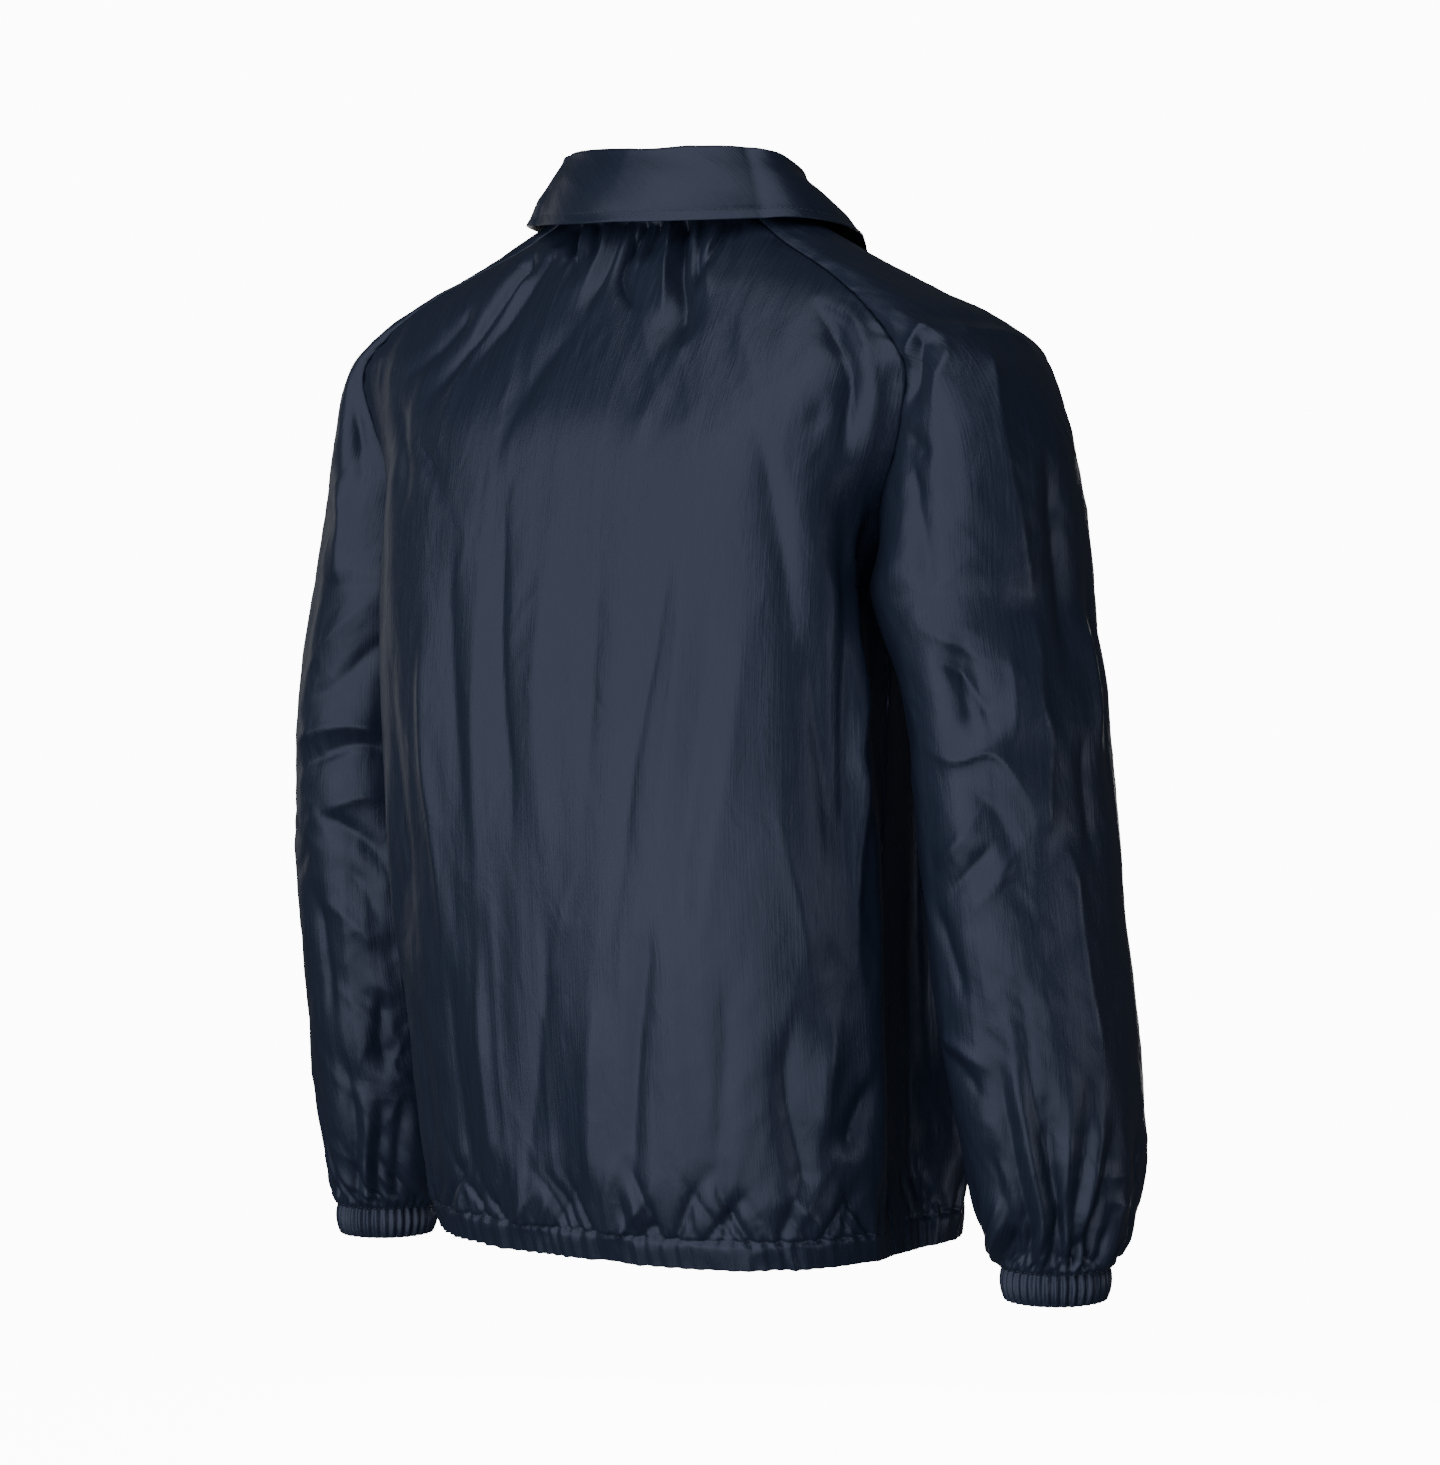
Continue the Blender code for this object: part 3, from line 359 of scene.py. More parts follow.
def body_base(sections, face, share, level):
    """The body's outer face without folds. face is 1 at the back and -1 at the front."""
    share, level = np.broadcast_arrays(np.asarray(share, float), np.asarray(level, float))
    row = {name: sections.read(name, level) for name in sections.columns}
    power = row["squareness"]
    seam_depth = np.clip(face * (row["seam_y"] - row["middle_y"]) / row["depth"], 0, 0.98)
    width = row["seam_x"] / (1 - seam_depth**power) ** (1 / power)
    end = np.arctan2(row["seam_x"], face * (row["seam_y"] - row["middle_y"]))
    angle = np.abs(share) * end
    sine, cosine = np.sin(angle), np.abs(np.cos(angle))
    reach = ((sine / width) ** power + (cosine / row["depth"]) ** power) ** (-1 / power)
    reach = reach * (1 - row["dent"] * smooth((np.degrees(angle) - row["dent_start"]) / row["dent_edge"]))
    z = row["z_centre"] + (row["z_seam"] - row["z_centre"]) * share**2
    return np.stack(
        [np.sign(share) * reach * sine, row["middle_y"] + face * reach * np.cos(angle), z], -1
    )


def unit(vectors):
    """The same directions at a length of 1."""
    return vectors / np.maximum(np.linalg.norm(vectors, axis=-1, keepdims=True), 1e-12)


def running_length(points, axis):
    """Distance along each line of points, starting from its first one."""
    steps = np.linalg.norm(np.diff(points, axis=axis), axis=-1)
    start = np.zeros_like(np.take(steps, [0], axis=axis))
    return np.concatenate([start, np.cumsum(steps, axis=axis)], axis=axis)


# Shares of a row's length at which extra points lie beside a seam, and where even ones begin
NEAR_SEAM = np.array([0.0, 0.0014, 0.0030, 0.0052, 0.0080])
EVEN_FROM = 0.0115


def seam_shares(first, last, count, both=True):
    """Even shares from first to last, with extra ones at the last end's seam or at both."""
    extra = len(NEAR_SEAM)
    if both:
        shares = [NEAR_SEAM, np.linspace(EVEN_FROM, 1 - EVEN_FROM, count - 2 * extra)]
    else:
        shares = [np.linspace(0.0, 1 - EVEN_FROM, count - extra)]
    return first + (last - first) * np.concatenate([*shares, (1 - NEAR_SEAM)[::-1]])


def flat_places(points, middle):
    """Where each point of a grid lies on the flat cloth: across from the middle column, and up."""
    across = running_length(points, 1)
    across = across - across[:, middle:middle + 1]
    up = running_length(points[:, middle], 0)[:, None] + np.zeros_like(across)
    return across, up


# Points drawn for each span of a fold's path, and how many of its widths a fold reaches out
PATH_STEPS = 6
FOLD_REACH = 5


def fold_relief(folds, across, up):
    """Height of a table of folds at each place on the flat cloth."""
    relief = np.zeros_like(across)
    for row in folds:
        fold = dict(zip(FOLD_COLUMNS, row))
        corners = np.array(fold["path"], float) / 1000
        knots = np.arange(len(corners))
        reads = np.linspace(0, knots[-1], PATH_STEPS * knots[-1] + 1)
        line = Sections(("key", "a", "u"), *np.column_stack([knots, corners]))
        path = np.column_stack([line.read("a", reads), line.read("u", reads)])
        flip = -1.0 if path[-1, 1] < path[0, 1] else 1.0
        widths = np.array([fold["width_in"], fold["width_out"]]) / 1000
        margin = FOLD_REACH * widths.max()
        low, high = path.min(axis=0) - margin, path.max(axis=0) + margin
        near = (across > low[0]) & (across < high[0]) & (up > low[1]) & (up < high[1])
        here = np.column_stack([across[near], up[near]])
        lengths = np.linalg.norm(np.diff(path, axis=0), axis=1)
        total = lengths.sum()
        passed = np.concatenate([[0], np.cumsum(lengths)])
        best = np.full(len(here), np.inf)
        along, aside = np.zeros(len(here)), np.zeros(len(here))
        for k in range(len(lengths)):
            direction = (path[k + 1] - path[k]) / lengths[k]
            offset = here - path[k]
            reach = np.clip(offset @ direction, 0, lengths[k])
            rest = offset - reach[:, None] * direction
            distance = np.linalg.norm(rest, axis=1)
            side = np.sign(offset[:, 0] * direction[1] - offset[:, 1] * direction[0]) * flip
            closer = distance < best
            best = np.where(closer, distance, best)
            along = np.where(closer, (passed[k] + reach) / total, along)
            aside = np.where(closer, side * distance, aside)
        width = widths[0] + (widths[1] - widths[0]) * along
        width = width * (1 + fold["lean"] * np.tanh(3 * aside / width))
        # A soft fold is rounded over its whole width, and a crisp one only at its top.
        softness = 0.80 - 0.76 * fold["crisp"]
        profile = np.exp(softness - np.sqrt((aside / width) ** 2 + softness**2))
        if fold["fade_in"] > 0:
            profile = profile * smooth(along / fold["fade_in"])
        if fold["fade_out"] > 0:
            profile = profile * smooth((1 - along) / fold["fade_out"])
        relief[near] += fold["height"] / 1000 * profile
    return relief


RUMPLE_CELLS = 64


def rumple(across, up, cell_across, cell_up, seed):
    """Smooth random unevenness between about -1 and 1, the same each time for one seed."""
    draws = np.random.default_rng(seed).normal(0, 0.5, (RUMPLE_CELLS, RUMPLE_CELLS))
    a, u = across / cell_across + 20, up / cell_up + 7
    i, j = np.floor(a).astype(int), np.floor(u).astype(int)
    s, t = smooth(a - i), smooth(u - j)
    i, j = i % RUMPLE_CELLS, j % RUMPLE_CELLS
    k, m = (i + 1) % RUMPLE_CELLS, (j + 1) % RUMPLE_CELLS
    low = draws[i, j] * (1 - s) + draws[k, j] * s
    high = draws[i, m] * (1 - s) + draws[k, m] * s
    return low * (1 - t) + high * t


def gathers(seed, first, last, spacing, foot, reach, depth, width_in, width_out, drift):
    """Fold rows for uneven pleats that run up out of a drawn-in edge, from first to last across."""
    draw = np.random.default_rng(seed)
    rows = []
    place = first
    while place < last:
        length = reach * draw.uniform(0.35, 1.0)
        side = draw.uniform(-1, 1) * drift * length
        bend = draw.uniform(-0.15, 0.15) * drift * length
        size = depth * draw.uniform(0.45, 1.0) * draw.choice([-1.0, -1.0, 0.7])
        middle = (place + side * 0.5 + bend, foot + length * 0.5)
        path = ((place, foot), middle, (place + side, foot + length))
        rows.append((size, width_in, width_out * draw.uniform(0.7, 1.2), draw.uniform(0.4, 0.9),
                     draw.uniform(-0.3, 0.3), 0.0, 0.7, path))
        place += spacing * draw.uniform(0.6, 1.4)
    return tuple(rows)


def cloth_unevenness(across, up, seed, cell_across=0.030, cell_up=0.095, shear=0.24):
    """The crumple of light woven nylon: soft waves crossed by thin slanting creases."""
    calmer = 0.55 + 0.45 * rumple(across, up, 0.085, 0.140, seed + 9)
    lively = 1 + 0.7 * smooth(1 - up / 0.22)
    ridges = -np.abs(rumple(across + shear * up, up, cell_across, cell_up, seed + 3))
    furrows = np.abs(rumple(across - shear * up, up, cell_across * 1.3, cell_up * 1.1, seed + 4))
    crossed = -np.abs(rumple(across - 2.2 * shear * up, up, cell_across * 0.8, cell_up * 0.8, seed + 6))
    fine = -np.abs(rumple(across + 1.6 * shear * up, up, cell_across * 0.40, cell_up * 0.32, seed + 5))
    return (
        0.0007 * rumple(across, up, 0.026, 0.090, seed)
        - 0.0008 * np.abs(rumple(across, up, 0.013, 0.180, seed + 2))
        + calmer * lively * (0.0021 * ridges + 0.0017 * furrows + 0.0014 * crossed + 0.0009 * fine)
    )


def seam_relief(distance, along_seam, seed):
    """Cloth lies in at a seam, rolls up beside it, and puckers a little along the stitching."""
    roll = 1 - np.exp(-(distance / SEAM_ROLL) ** 2)
    pucker = rumple(along_seam, distance, 0.0065, 0.030, seed) * smooth(1 - distance / 0.014)
    return SEAM_LIFT * roll * (1 + 0.75 * pucker)


def grid_normals(points, sign, closed_rows=0):
    """Unit normals of a grid of points; its first closed_rows rows are rings."""
    across, up = np.gradient(points, axis=1), np.gradient(points, axis=0)
    if closed_rows:
        joined = points[:closed_rows, 1] - points[:closed_rows, -2]
        across[:closed_rows, 0] = joined
        across[:closed_rows, -1] = joined
    return unit(np.cross(across, up) * sign)


def row_at(flat, height):
    """The row of a grid that lies closest to a height on the flat cloth."""
    return np.argmin(np.abs(flat[:, 0, 1] - height))


TURNED_RADIUS = 0.0006
TURNED_BENDS = np.linspace(math.pi, 0, 7)[1:-1]


def turned_up(points, normals, flat, rows):
    """Adds an edge turned to the inside before the first row: a tight roll, then a flat strip."""
    up = unit(points[1] - points[0])
    roll = []
    for bend in TURNED_BENDS:
        inward = normals[0] * TURNED_RADIUS * (1 - math.cos(bend))
        roll.append(points[0] - inward - up * TURNED_RADIUS * math.sin(bend))
    strip = [points[k] - normals[k] * TURNED_RADIUS * 2 for k in range(rows, -1, -1)]
    extra = np.array(strip + roll)
    made = np.concatenate([extra, points])
    left = running_length(extra, 0)
    below = flat[0] - (left[-1:] - left)[..., None] * np.array([0.0, 1.0])
    lengthened = np.concatenate([normals[rows::-1], np.repeat(normals[:1], len(roll), axis=0), normals])
    return made, np.concatenate([below, flat]), lengthened


def cell_corners(grid):
    """The four corners of each cell of a grid, in order round the cell."""
    return np.stack([grid[:-1, :-1], grid[:-1, 1:], grid[1:, 1:], grid[1:, :-1]], 2)


def cloth_piece(name, points, flat, material, closed_rows=0, flip=False):
    """A sheet of cloth from a grid of points. Its first closed_rows rows close into rings."""
    rows, columns = points.shape[:2]
    ids = np.arange(rows * columns).reshape(rows, columns)
    ids[:closed_rows, -1] = ids[:closed_rows, 0]
    quads, places = cell_corners(ids), cell_corners(flat)
    if flip:
        quads, places = quads[..., ::-1], places[..., ::-1, :]
    quads, places = quads.reshape(-1, 4), places.reshape(-1, 4, 2)
    used, packed = np.unique(quads, return_inverse=True)
    quads = packed.reshape(-1, 4)
    return mesh_object(name, points.reshape(-1, 3)[used], quads.tolist(), material, places)


# Nylon taffeta is a close plain weave of bright filament, calendered to a soft satin face.
# It shows a broad blue-grey sheen on what faces the light, and faint streaks along the warp.
nylon, tree = new_material("calendered_nylon_taffeta")
place = add_node(tree, "ShaderNodeUVMap", {"uv_map": "flat_cloth"}, {})
# A slub in the warp is 1.4 mm wide and about 45 mm long.
warp = add_node(tree, "ShaderNodeMapping", {}, {"Vector": (place, "UV"), "Scale": (700.0, 22.0, 1.0)})
slubs = add_node(tree, "ShaderNodeTexNoise", {"noise_dimensions": "2D"}, {
    "Vector": (warp, "Vector"), "Scale": 1.0, "Detail": 3.0, "Roughness": 0.6})
# Threads lie 0.25 mm apart; they are drawn 0.9 mm apart, or they would not show at all.
threads = add_node(tree, "ShaderNodeTexWave", {"bands_direction": "X"}, {
    "Vector": (place, "UV"), "Scale": 350.0, "Distortion": 1.0, "Detail": 1.0})
picks = add_node(tree, "ShaderNodeTexWave", {"bands_direction": "Y"}, {
    "Vector": (place, "UV"), "Scale": 350.0, "Distortion": 1.0, "Detail": 1.0})
weave = add_node(tree, "ShaderNodeMath", {"operation": "MULTIPLY"}, {0: (threads, "Fac"), 1: (picks, "Fac")})
# Crinkles left by folding and wear are about 17 mm across and 38 mm along the warp.
crinkle_place = add_node(tree, "ShaderNodeMapping", {}, {"Vector": (place, "UV"), "Scale": (60.0, 26.0, 1.0)})
crinkles = add_node(tree, "ShaderNodeTexNoise", {"noise_dimensions": "2D"}, {
    "Vector": (crinkle_place, "Vector"), "Scale": 1.0, "Detail": 4.0, "Roughness": 0.55, "Distortion": 0.8})
shade = add_node(tree, "ShaderNodeMix", {"data_type": "RGBA"}, {
    0: (slubs, "Fac"), 6: hex_colour("#181f2e"), 7: hex_colour("#232a3c")})
slub_bump = add_node(tree, "ShaderNodeBump", {}, {
    "Strength": 0.35, "Distance": 0.0005, "Height": (slubs, "Fac")})
crinkle_bump = add_node(tree, "ShaderNodeBump", {}, {
    "Strength": 0.20, "Distance": 0.0022, "Height": (crinkles, "Fac"), "Normal": (slub_bump, "Normal")})
weave_bump = add_node(tree, "ShaderNodeBump", {}, {
    "Strength": 0.15, "Distance": 0.0001, "Height": (weave, "Value"), "Normal": (crinkle_bump, "Normal")})
gloss = add_node(tree, "ShaderNodeMapRange", {}, {
    "Value": (slubs, "Fac"), "From Min": 0.3, "From Max": 0.7, "To Min": 0.30, "To Max": 0.40})
satin = add_node(tree, "ShaderNodeBsdfPrincipled", {}, {
    "Base Color": (shade, 2), "Roughness": (gloss, "Result"), "Normal": (weave_bump, "Normal"),
    "IOR": 1.53, "Specular Tint": hex_colour("#c5cce8"),
})
add_node(tree, "ShaderNodeOutputMaterial", {}, {"Surface": (satin, "BSDF")})


def hem_puckers(across, up, seed):
    """Fine upright puckers where elastic draws the casing in, dying out above its stitching."""
    wander = 0.8 * rumple(across, up, 0.045, 0.2, seed)
    wave = np.sin(2 * math.pi * (across / HEM_PUCKER + wander))
    inside = smooth(1 - (up - HEM_CASING) / 0.010)
    pinch = np.exp(-((up - HEM_CASING) / 0.0016) ** 2)
    size = 0.6 + 0.4 * rumple(across, up, 0.030, 0.5, seed + 1)
    return 0.0011 * wave * size * inside - 0.0009 * pinch


shares = seam_shares(-1.0, 1.0, BACK_POINTS)
share, level = np.meshgrid(shares, BODY_LEVELS)
base = body_base(BACK, 1, share, level)
across, up = flat_places(base, BACK_POINTS // 2)
top = up.max()
to_seam = np.abs(across[:, -1:]) - np.abs(across)
calm = smooth(to_seam / SEAM_CALM) * smooth((top - up) / 0.008)
hem_gathers = gathers(11, -245, 245, 10.0, 20, 78, 4.4, 2.0, 6.5, 0.75)
neck_gathers = gathers(13, -78, 68, 8.0, 716, -58, 4.0, 1.9, 4.5, 0.25)
relief = fold_relief(BACK_FOLDS + hem_gathers + neck_gathers, across, up)
relief = relief * calm * smooth((up - 0.004) / 0.02)
# Between hem and shoulders the back hangs straighter and crumples less.
flatter = 1 - 0.45 * smooth((up - 0.22) / 0.10) * smooth((0.62 - up) / 0.08)
relief = relief + cloth_unevenness(across, up, 3) * calm * flatter + hem_puckers(across, up, 5) * calm
relief = relief + seam_relief(to_seam, up, 17)
points = base + grid_normals(base, -1) * relief[..., None]
normals, flat = grid_normals(points, -1), np.stack([across, up], -1)
back_grid = points, normals, flat
points, flat, normals = turned_up(points, normals, flat, row_at(flat, HEM_CASING) + TURNED_OVER)
back_panel = cloth_piece("back_panel_taffeta", points, flat, nylon)
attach(back_panel, "root")
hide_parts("back_panel")


# ---- Fronts ----
# Two pieces of the same taffeta, lapped left over right at the centre. Their front edges are
# turned in, and their hems run on from the back's in the same elastic casing.
FRONT = Sections(
    BODY_COLUMNS,
    (0.00, -0.709, -0.709, 0.174, 0.012, 0.012, 0.148, 3.2, 0.04, 66, 12),
    (0.08, -0.674, -0.674, 0.182, 0.012, 0.012, 0.150, 3.0, 0.12, 65, 12),
    (0.25, -0.5995, -0.5995, 0.190, 0.013, 0.013, 0.150, 2.8, 0.18, 64, 13),
    (0.55, -0.4665, -0.4665, 0.196, 0.015, 0.015, 0.146, 2.8, 0.20, 62, 14),
    (0.80, -0.355, -0.355, 0.200, 0.018, 0.018, 0.140, 2.8, 0.19, 60, 15),
    (1.00, -0.265, -0.265, 0.204, 0.020, 0.020, 0.134, 3.0, 0.165, 58, 17),
    (1.20, -0.215, -0.215, 0.2060, -0.028, 0.020, 0.132, 3.0, 0.120, 50, 22),
    (1.40, -0.168, -0.150, 0.2080, -0.050, 0.016, 0.122, 2.6, 0.040, 46, 26),
    (1.50, -0.146, -0.115, 0.2050, -0.057, 0.012, 0.113, 2.4, 0.00, 46, 26),
    (1.62, -0.126, -0.095, 0.1880, -0.058, 0.008, 0.102, 2.3, 0.00, 66, 26),
    (1.75, -0.108, -0.073, 0.1560, -0.051, 0.004, 0.089, 2.2, 0.00, 66, 26),
    (1.85, -0.095, -0.055, 0.1270, -0.042, 0.002, 0.079, 2.1, 0.00, 66, 26),
    (1.93, -0.084, -0.037, 0.0960, -0.031, 0.002, 0.070, 2.0, 0.00, 66, 26),
    (2.00, -0.073, -0.018, 0.0720, -0.018, 0.004, 0.061, 2.0, 0.00, 66, 26),
    corner=1.0, corner_columns=UNDERARM_CORNER,
)
FRONT_POINTS = 121
OVERLAP_HALF = 0.015
OVERLAP_FADE = 0.030
LAP = 0.0018

# Across from the centre front towards the side seam, and up from the hem, in millimetres.
FRONT_FOLDS = (
    (-5.0, 8.0, 12.0, 0.5, 0.0, 0.3, 0.5, ((58, 600), (105, 550), (152, 496))),
    (4.5, 8.0, 10.0, 0.5, 0.0, 0.3, 0.5, ((98, 625), (140, 580), (174, 515))),
    (-4.0, 6.0, 8.0, 0.5, 0.0, 0.3, 0.5, ((128, 628), (165, 590), (190, 540))),
    (4.5, 8.0, 12.0, 0.4, 0.2, 0.3, 0.3, ((94, 470), (86, 300), (78, 190), (76, 60))),
    (-4.5, 7.0, 11.0, 0.5, 0.0, 0.3, 0.2, ((136, 420), (129, 280), (124, 170), (126, 50))),
    (-4.0, 7.0, 10.0, 0.4, 0.0, 0.3, 0.3, ((54, 520), (48, 400), (52, 280), (47, 140))),
    (-4.0, 6.0, 9.0, 0.5, 0.0, 0.3, 0.3, ((172, 480), (186, 400), (180, 300), (184, 180))),
    (4.0, 6.0, 9.0, 0.6, 0.0, 0.3, 0.3, ((208, 450), (214, 350), (206, 240), (209, 120))),
    (-3.5, 6.0, 8.0, 0.4, 0.0, 0.4, 0.3, ((112, 350), (103, 250), (108, 190), (114, 110))),
    (-3.5, 5.0, 7.0, 0.5, 0.0, 0.4, 0.2, ((70, 210), (62, 130), (66, 45))),
    (-4.5, 6.0, 8.0, 0.5, 0.0, 0.4, 0.2, ((152, 190), (159, 120), (161, 42))),
    (3.0, 6.0, 8.0, 0.4, 0.0, 0.4, 0.2, ((96, 160), (100, 100), (98, 42))),
    (-4.0, 6.0, 8.0, 0.5, 0.0, 0.4, 0.2, ((232, 300), (236, 200), (228, 90))),
)


def varied(folds, seed):
    """The same folds moved and resized a little, so that the two sides are not twins."""
    draw = np.random.default_rng(seed)
    rows = []
    for row in folds:
        shift, climb, size = draw.uniform(-9, 9), draw.uniform(-14, 14), draw.uniform(0.7, 1.25)
        path = tuple((a + shift + draw.uniform(-4, 4), u + climb) for a, u in row[-1])
        rows.append((row[0] * size, *row[1:-1], path))
    return tuple(rows)


def front_panel(side, seed):
    """Points, normals and flat places of one front; side is 1 for the wearer's left."""
    levels = BODY_LEVELS[:, None]
    seam = FRONT.read("seam_x", levels), FRONT.read("middle_y", levels) - FRONT.read("seam_y", levels)
    first = -OVERLAP_HALF / (FRONT.read("depth", levels) * np.arctan2(*seam))
    share = first + (1 - first) * seam_shares(0.0, 1.0, FRONT_POINTS, both=False)[None, :]
    base = body_base(FRONT, -1, side * share, levels + np.zeros_like(share))
    across = running_length(base, 1) - OVERLAP_HALF
    up = running_length(base[:, 8], 0)[:, None] + np.zeros_like(across)
    top = up.max()
    to_seam = across[:, -1:] - across
    at_lap = smooth((across - OVERLAP_HALF) / OVERLAP_FADE)
    calm = smooth(to_seam / SEAM_CALM) * smooth((top - up) / 0.02) * at_lap
    folds = varied(FRONT_FOLDS, seed) + gathers(seed + 1, 24, 250, 10.0, 20, 78, 4.2, 2.0, 6.5, 0.75)
    relief = fold_relief(folds, across, up) * calm * smooth((up - 0.004) / 0.02)
    crumple = cloth_unevenness(across, up, seed + 2) * (0.25 + 0.75 * calm)
    relief = relief + crumple * smooth(to_seam / SEAM_CALM)
    relief = relief + hem_puckers(across, up, seed + 4) * calm + seam_relief(to_seam, up, seed + 6) * at_lap
    if side > 0:
        relief = relief + LAP * (1 - at_lap)
    points = base + grid_normals(base, side) * relief[..., None]
    return points, grid_normals(points, side), np.stack([across, up], -1)


def turned_in(points, normals, flat, columns):
    """The same as turned_up, for the first column of a grid."""
    made = turned_up(points.swapaxes(0, 1), normals.swapaxes(0, 1), flat.swapaxes(0, 1)[..., ::-1], columns)
    points, flat, normals = (array.swapaxes(0, 1) for array in made)
    return points, flat[..., ::-1], normals


FACING_POINTS = 7
front_grids = {}
for side, name, seed in ((1, "front_left", 31), (-1, "front_right", 41)):
    points, normals, flat = front_panel(side, seed)
    front_grids[side] = points, normals, flat
    hem_rows = row_at(flat, HEM_CASING) + TURNED_OVER
    points, flat, normals = turned_up(points, normals, flat, hem_rows)
    points, flat, normals = turned_in(points, normals, flat, FACING_POINTS)
    front = cloth_piece(name + "_taffeta", points, flat, nylon, flip=side < 0)
    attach(front, "root")
    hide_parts(name)


# ---- Sleeves ----
# Each raglan sleeve is one piece from the neck to the wrist, sewn into a tube under the arm
# and gathered into its cuff. The raglan seams join it to the back and the front.

# Below level 1 a sleeve row is a closed ring; above it the row runs from the back raglan
# seam over the arm to the front one, and open_angle is how far round it starts. The last
# three columns move the outer line of the left sleeve, which hangs closer and lower.
SLEEVE = Sections(
    ("level", "outer_x", "outer_y", "outer_z", "inner_x", "ring_depth", "open_angle",
     "left_x", "left_y", "left_z"),
    (0.00, 0.3110, -0.015, -0.710, 0.2410, 0.037, 0, 0.013, 0.000, -0.009),
    (0.035, 0.3180, -0.015, -0.695, 0.2360, 0.045, 0, 0.009, 0.000, -0.007),
    (0.08, 0.3245, -0.015, -0.676, 0.2275, 0.055, 0, 0.006, 0.000, -0.005),
    (0.18, 0.3300, -0.013, -0.632, 0.2190, 0.067, 0, 0.002, 0.000, -0.002),
    (0.34, 0.3300, -0.006, -0.560, 0.2095, 0.075, 0, 0.000, 0.000, 0.000),
    (0.53, 0.3250, 0.006, -0.477, 0.2040, 0.077, 0, 0.001, 0.000, 0.000),
    (0.70, 0.3210, 0.013, -0.400, 0.2005, 0.078, 0, 0.000, 0.000, 0.000),
    (0.86, 0.3150, 0.016, -0.330, 0.1925, 0.080, 0, -0.001, -0.001, 0.000),
    (1.00, 0.3070, 0.020, -0.265, 0.1703, 0.082, 0, -0.006, -0.006, 0.000),
    (1.20, 0.3030, 0.022, -0.200, 0.1703, 0.083, 34, -0.021, -0.012, -0.004),
    (1.40, 0.2900, 0.025, -0.141, 0.1703, 0.083, 56, -0.028, -0.016, -0.009),
    (1.50, 0.2750, 0.027, -0.113, 0.1703, 0.081, 66, -0.028, -0.018, -0.009),
    (1.62, 0.2460, 0.028, -0.088, 0.1703, 0.077, 77, -0.022, -0.012, -0.009),
    (1.75, 0.2000, 0.028, -0.067, 0.1703, 0.065, 91, -0.010, -0.006, -0.009),
    (1.85, 0.1580, 0.027, -0.047, 0.1703, 0.055, 103, -0.004, -0.002, -0.007),
    (1.93, 0.1200, 0.025, -0.028, 0.1703, 0.046, 110, 0.000, 0.000, -0.003),
    (2.00, 0.0870, 0.022, -0.010, 0.1703, 0.037, 115, 0.000, 0.000, 0.000),
)
SLEEVE_POINTS = 193
OPENING_RUN = 0.25
SLEEVE_PUFF = 0.0030
CUFF_RUFFLES = 36
RUFFLE_SIZE = 0.0011
# A sleeve and its cuff share a seed, so that the ruffles run on from one to the other.
SLEEVE_SEEDS = {1: 61, -1: 71}


def from_cuff(height, width_out, crisp, *path):
    """The row of a fold that starts narrow at the cuff and widens up the arm."""
    return height, 3.0, width_out, crisp, 0.0, 0.05, 0.5, path


